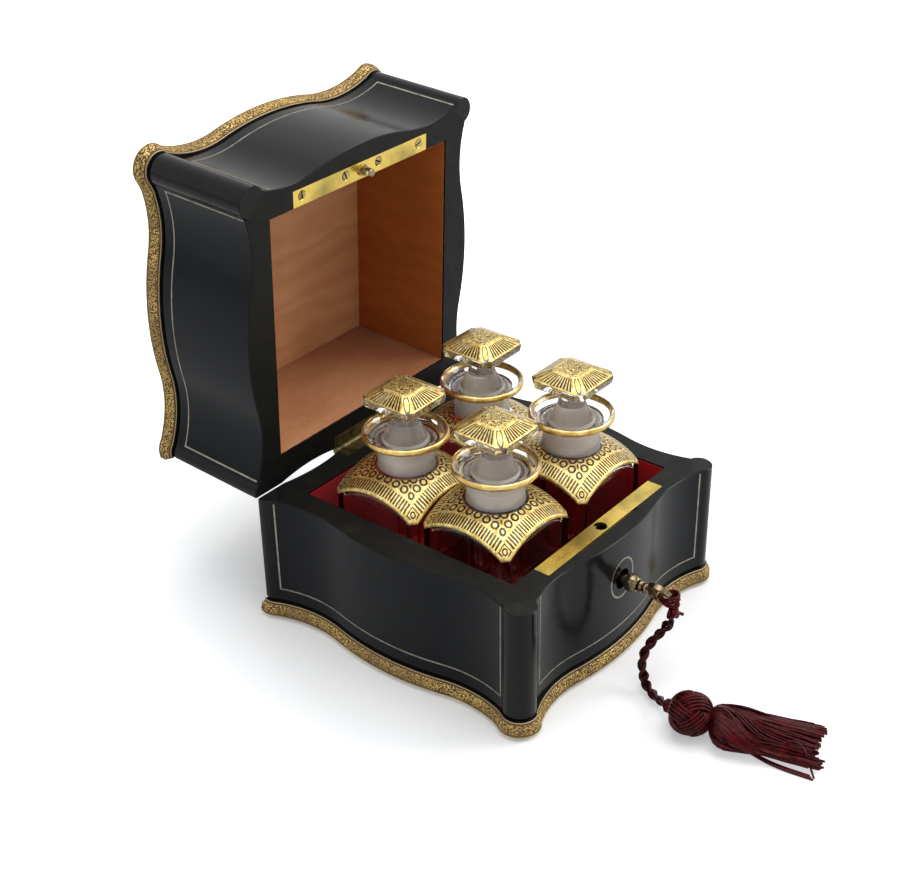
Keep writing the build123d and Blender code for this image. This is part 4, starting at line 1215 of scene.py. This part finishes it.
def framed(points):
    """Each point with two directions across the line there."""
    result, side = [], None
    last = len(points) - 1
    for k, p in enumerate(points):
        ahead = (points[min(k + 1, last)] - points[max(k - 1, 0)]).normalized()
        side = side or ahead.orthogonal().normalized()
        side = (side - ahead * side.dot(ahead)).normalized()
        result.append((p, side, ahead.cross(side)))
    return result


def thread(bm, points, radius, sides=6):
    """A closed round tube along a line in millimetres. The radius is a number, or a rule of the way along."""
    rings = []
    last = len(points) - 1
    for k, (p, side, other) in enumerate(framed(points)):
        r = radius(k / last) if callable(radius) else radius
        rings.append([p + (side * math.cos(a) + other * math.sin(a)) * r
                      for a in (2 * math.pi * j / sides for j in range(sides))])
    loft(bm, rings, [0] * len(rings))


def curved_thread(bm, name, points, resolution, radius, sides=6):
    """A thread along a smooth spline. Its control points are in millimetres."""
    thread(bm, [p / MM for p in spline_points(name, points, resolution)], radius, sides)


def silk_thread(name, dark, mid, light):
    """Dyed silk: its colour wanders from thread to thread, and it shines along its length."""
    material, tree, shader = new_finish(name)
    shade = noise(coordinates(tree), 300.0, 3.0, 0.6)
    fine = noise(coordinates(tree), 2600.0, 2.0, 0.6)
    colour = ramp(fine * 0.35 + shade * 0.65, (0.36, dark), (0.52, mid), (0.68, light))
    fill(shader, {"Base Color": colour, "Roughness": 0.27, "Specular IOR Level": 0.30,
                  "Specular Tint": (0.95, 0.36, 0.38)})
    bump(shader, fine, 0.3, 0.00012)
    return material


skirt_silk = silk_thread("skirt_silk", (0.009, 0.0004, 0.0008), (0.042, 0.0012, 0.0028), (0.125, 0.004, 0.008))
cord_silk = silk_thread("cord_silk", (0.005, 0.0006, 0.0010), (0.017, 0.0010, 0.0018), (0.050, 0.003, 0.005))
loop_silk = silk_thread("loop_silk", (0.014, 0.0006, 0.0012), (0.060, 0.0016, 0.0036), (0.14, 0.005, 0.009))

# %% [markdown]
# ## The cord
# Two strands are laid round each other, each of two plies laid the other way. The strands are slack, so they
# all but part here and there.

# %% Cord
CORD_STEP, STRAND_LAY, PLY_LAY, PLY_OUT = 0.26, 9.0, 7.3, 0.47
cord_frames = framed(resampled([p / MM for p in cord_line], CORD_STEP))
bm = bmesh.new()
random.seed(5)
for strand in (0, 1):
    for ply in (0, 1):
        points = []
        for k, (p, side, other) in enumerate(cord_frames):
            s = k * CORD_STEP
            slack = 0.80 + 0.34 * max(0.0, math.sin(s / 3.9 + 0.9)) ** 6
            slack += 0.16 * max(0.0, math.sin(s / 5.1 - 1.6)) ** 3
            a = 2 * math.pi * (s / STRAND_LAY + strand / 2) + 0.45 * math.sin(s / 4.3)
            b = -2 * math.pi * (s / PLY_LAY + ply / 2 + strand * 0.3)
            outward = side * math.cos(a) + other * math.sin(a)
            round_it = other * math.cos(a) - side * math.sin(a)
            centre = p + outward * (0.98 * slack + PLY_OUT * math.cos(b))
            points.append(centre + round_it * PLY_OUT * math.sin(b))
        thread(bm, points, 0.78)
cord = piece("twisted_cord", bm, "tassel", cord_silk, ["tassel_cord"], 50.0)

# %% [markdown]
# ## The ball
# The ball is a woven knot: one band of five parallel threads goes three times round a core and waves five times
# between the poles on its way. Where it meets itself it passes over and under by turns, which a small wave in
# its distance from the middle gives.

# %% Ball
BALL = Vector((-23.2, -110.0, 9.2))
heading = math.radians(-64.0)
AHEAD = Vector((math.cos(heading), math.sin(heading), 0))
pole = Vector((0.24, -0.955, 0.17)).normalized()
east = pole.cross(Vector((0, 0, 1))).normalized()
north = pole.cross(east)


def on_ball(longitude, latitude, radius):
    flat = east * math.cos(longitude) + north * math.sin(longitude)
    return (flat * math.cos(latitude) + pole * math.sin(latitude)) * radius


def knot_point(t, shift):
    """A point of the band, shift millimetres to the side of its middle."""
    def middle(u):
        return on_ball(3 * u + 0.5, 1.02 * math.cos(5 * u), 7.45 + 0.58 * math.sin(10 * u))
    here = middle(t)
    along = (middle(t + 0.01) - here).normalized()
    aside = along.cross(here.normalized()).normalized()
    moved = here + aside * shift
    return BALL + moved.normalized() * here.length


bm = bmesh.new()
core = Matrix.Translation(BALL * MM)
bmesh.ops.create_uvsphere(bm, u_segments=32, v_segments=20, radius=6.6 * MM, matrix=core)
for shift in (-2.76, -1.38, 0.0, 1.38, 2.76):
    thread(bm, [knot_point(2 * math.pi * k / 170, shift) for k in range(171)], 0.63, 8)
    print("band thread", shift, len(bm.faces))
# Six turns of thread bind the cord where it goes into the ball
cord_end = cord_line[-1] / MM
neck_axis = (BALL - cord_end).normalized()
neck_from = cord_end - neck_axis * 3.6
neck_side = neck_axis.orthogonal().normalized()
neck_other = neck_axis.cross(neck_side)
turns = []
for k in range(73):
    a = 2 * math.pi * k / 12
    reach = 2.15 + 0.9 * (k / 72) ** 2
    across = neck_side * math.cos(a) + neck_other * math.sin(a)
    turns.append(neck_from + neck_axis * (5.4 * k / 72) + across * reach)
thread(bm, turns, 0.52)
piece("woven_ball", bm, "tassel", skirt_silk, ["tassel_ball"], 50.0)

# %% [markdown]
# ## The skirt
# About a hundred and forty threads leave the ball's foot. They lie in bundles. Those of the far side run
# straight out, those of the top sweep over to the near side, and the near ones belly out beside the ball. Every
# thread follows one rule: how far round the skirt it starts, how far round it ends, and how deep it lies.

# %% Skirt
AWAY = Vector((-AHEAD.y, AHEAD.x, 0))
SKIRT_FROM = Vector((BALL.x, BALL.y, 0)) + AHEAD * 7.2
LOWEST = 0.55
# How far the skirt spreads to each side and how high it stands, by the distance from the ball
NEAR = ((0, 4.2), (1.0, 8.2), (2.6, 10.8), (5.5, 12.0), (11, 11.7), (20, 11.3), (30, 12.2), (43, 14.0))
FAR = ((0, 3.6), (2, 5.6), (5, 7.2), (14, 7.4), (28, 7.8), (43, 8.6))
TOP = ((0, 11.0), (3, 12.2), (9, 11.0), (19, 9.2), (30, 7.4), (43, 5.4))


def between(table, s):
    """A value between those of a table, eased so that it has no corners."""
    for (s0, v0), (s1, v1) in zip(table, table[1:]):
        if s <= s1:
            share = max(0.0, (s - s0) / (s1 - s0))
            return v0 + (v1 - v0) * (share * 0.5 + 0.5 * share * share * (3 - 2 * share))
    return table[-1][1]


def beside_skirt(s, aside, height):
    """A point so far ahead of the skirt's start, so far to its far side, and so high."""
    place = SKIRT_FROM + AHEAD * s + AWAY * aside
    return Vector((place.x, place.y, height))


def skirt_point(s, turn, depth, lift=0.0):
    """turn is 0 on the far side, 90 degrees on top and 180 on the near side. depth is 1 at the skin."""
    c, d = math.cos(math.radians(turn)), math.sin(math.radians(turn))
    wide = between(FAR, s) if c > 0 else between(NEAR, s)
    top = between(TOP, s)
    low = LOWEST + 3.2 * max(0.0, 1 - s / 5) ** 2
    middle, half = (top + low) / 2, (top - low) / 2
    return beside_skirt(s, wide * depth * c, max(LOWEST, middle + half * depth * d + lift))


def eased(value):
    value = min(1.0, max(0.0, value))
    return value * value * (3 - 2 * value)


# %% Threads of the skirt
random.seed(77)
bm = bmesh.new()
strands = 0
for bundle in range(18):
    u = bundle / 17
    start = between(((0, -25), (0.45, 62), (0.8, 125), (1, 215)), u) + random.uniform(-5, 5)
    end = between(((0, -18), (0.3, 75), (0.55, 140), (0.8, 182), (1, 216)), u) + random.uniform(-7, 7)
    bundle_depth = random.choice((0.84, 0.95, 1.06)) + random.uniform(-0.02, 0.02)
    turn_at = random.uniform(17, 25)
    for k in range(4):
        spread = (k - 1.5) * 6.6
        depth = bundle_depth + random.uniform(-0.035, 0.035)
        long = 38.4 + random.uniform(-3.0, 1.8) + 1.4 * math.sin(2.4 * u * math.pi)
        wave, phase = random.uniform(1.2, 3.2), random.uniform(0, 6)
        points = []
        for j in range(14):
            s = long * (j / 13) ** 1.55
            turn = start + (end - start) * eased(s / turn_at) + spread * (0.75 + 0.25 * s / long)
            turn += wave * math.sin(s / 5.5 + phase)
            points.append(skirt_point(s, turn, depth))
        thread(bm, points, lambda q: 0.52 if q < 0.97 else 0.44)
        strands += 1
for k in range(60):
    turn0, depth, long = random.uniform(-20, 210), random.uniform(0.3, 0.80), 37.8 + random.uniform(-2, 2)
    shift = random.uniform(0, 35)
    points = [skirt_point(long * (j / 8) ** 1.3, turn0 + shift * eased(j / 6), depth) for j in range(9)]
    thread(bm, points, 0.58, 5)
    strands += 1
# Loose threads: three stand off the top, three lie out on the near side and one springs up in an arc
for k in range(3):
    points = []
    for j in range(12):
        lift = (1.9 - 0.5 * k) * math.sin(min(1, j / 7) * math.pi)
        points.append(skirt_point(38 * j / 11, 48 - 7 * k + 4 * j / 11, 1.0, lift))
    thread(bm, points, 0.45, 5)
for k in range(3):
    line = [skirt_point(0, 150, 0.8), skirt_point(6, 165, 1.02), skirt_point(13, 172, 1.03)]
    for s, aside, height in (
        (19, -11.4, 2.0), (24, -12.6, 0.8), (29, -14.2, LOWEST), (34, -15.6, LOWEST), (37.5, -16.6, LOWEST),
    ):
        line.append(beside_skirt(s - 0.6 * k, aside + 0.95 * k, height))
    curved_thread(bm, "loose_thread", line, 3, 0.46, 5)
line = [skirt_point(4, 100, 1.0), skirt_point(14, 130, 1.02), skirt_point(24, 150, 1.03)]
for s, aside, height in (
    (27, -7.0, 8.0), (30.5, -7.0, 8.8), (33.5, -9.0, 7.6), (35.5, -12.0, 4.4), (37, -14.6, 1.6),
    (37.8, -16.0, 0.6),
):
    line.append(beside_skirt(s, aside, height))
curved_thread(bm, "springing_thread", line, 3, 0.42, 5)
skirt = piece("thread_skirt", bm, "tassel", skirt_silk, ["tassel_skirt"], 60.0)
print(strands, "threads and seven loose ones in the skirt,", len(skirt.data.polygons), "faces")

# %% [markdown]
# ## The loop on the key
# A doubled cord passes through the bow, and a knot below the bow ties it to the tassel's cord.

# %% Loop and knot
LOOP = Vector((0.0, -84.7, 35.6))
bm = bmesh.new()
for k, (radius, shift, lean) in enumerate(((3.3, -0.75, 0.22), (3.45, 0.1, 0.0), (3.2, 0.9, -0.2))):
    points = []
    for j in range(33):
        a = 2 * math.pi * j / 32
        points.append(LOOP + Vector((radius * math.cos(a) + 0.3 * k, radius * math.sin(a) * 1.02,
                                     shift + lean * radius * math.sin(a) + 0.25 * math.sin(3 * a + k))))
    thread(bm, points, 0.62)
knot_middle = Vector((-1.2, -87.8, 31.0))
for k in range(2):
    line = [LOOP + Vector((0.5 - k, -3.2, -0.4)), LOOP + Vector((0.9 - 0.9 * k, -3.9, -1.9)),
            knot_middle + Vector((0.5 - k, 0.1, 2.2)), knot_middle + Vector((0.4 - 0.5 * k, 0.2, 0.0))]
    curved_thread(bm, "loop_tail", line, 6, 0.72)
for k in range(2):
    points = []
    for j in range(61):
        a = 2 * math.pi * j / 60
        fold = Vector((math.sin(2 * a) * 1.7 + 0.6 * math.sin(a),
                       math.cos(2 * a) * 1.15 + 0.75 * math.cos(a),
                       1.45 * math.sin(3 * a)))
        points.append(knot_middle + Matrix.Rotation(0.5 * k, 3, "Z") @ fold * (1.0 - 0.18 * k))
    thread(bm, points, 0.72)
tail = [knot_middle + Vector(v) for v in ((0.9, -0.6, -0.4), (2.6, -1.3, -0.9), (3.4, -1.8, -1.9))]
curved_thread(bm, "knot_tail", tail, 6, 0.7)
piece("cord_loop_and_knot", bm, "key", loop_silk, ["key_loop"], 50.0)
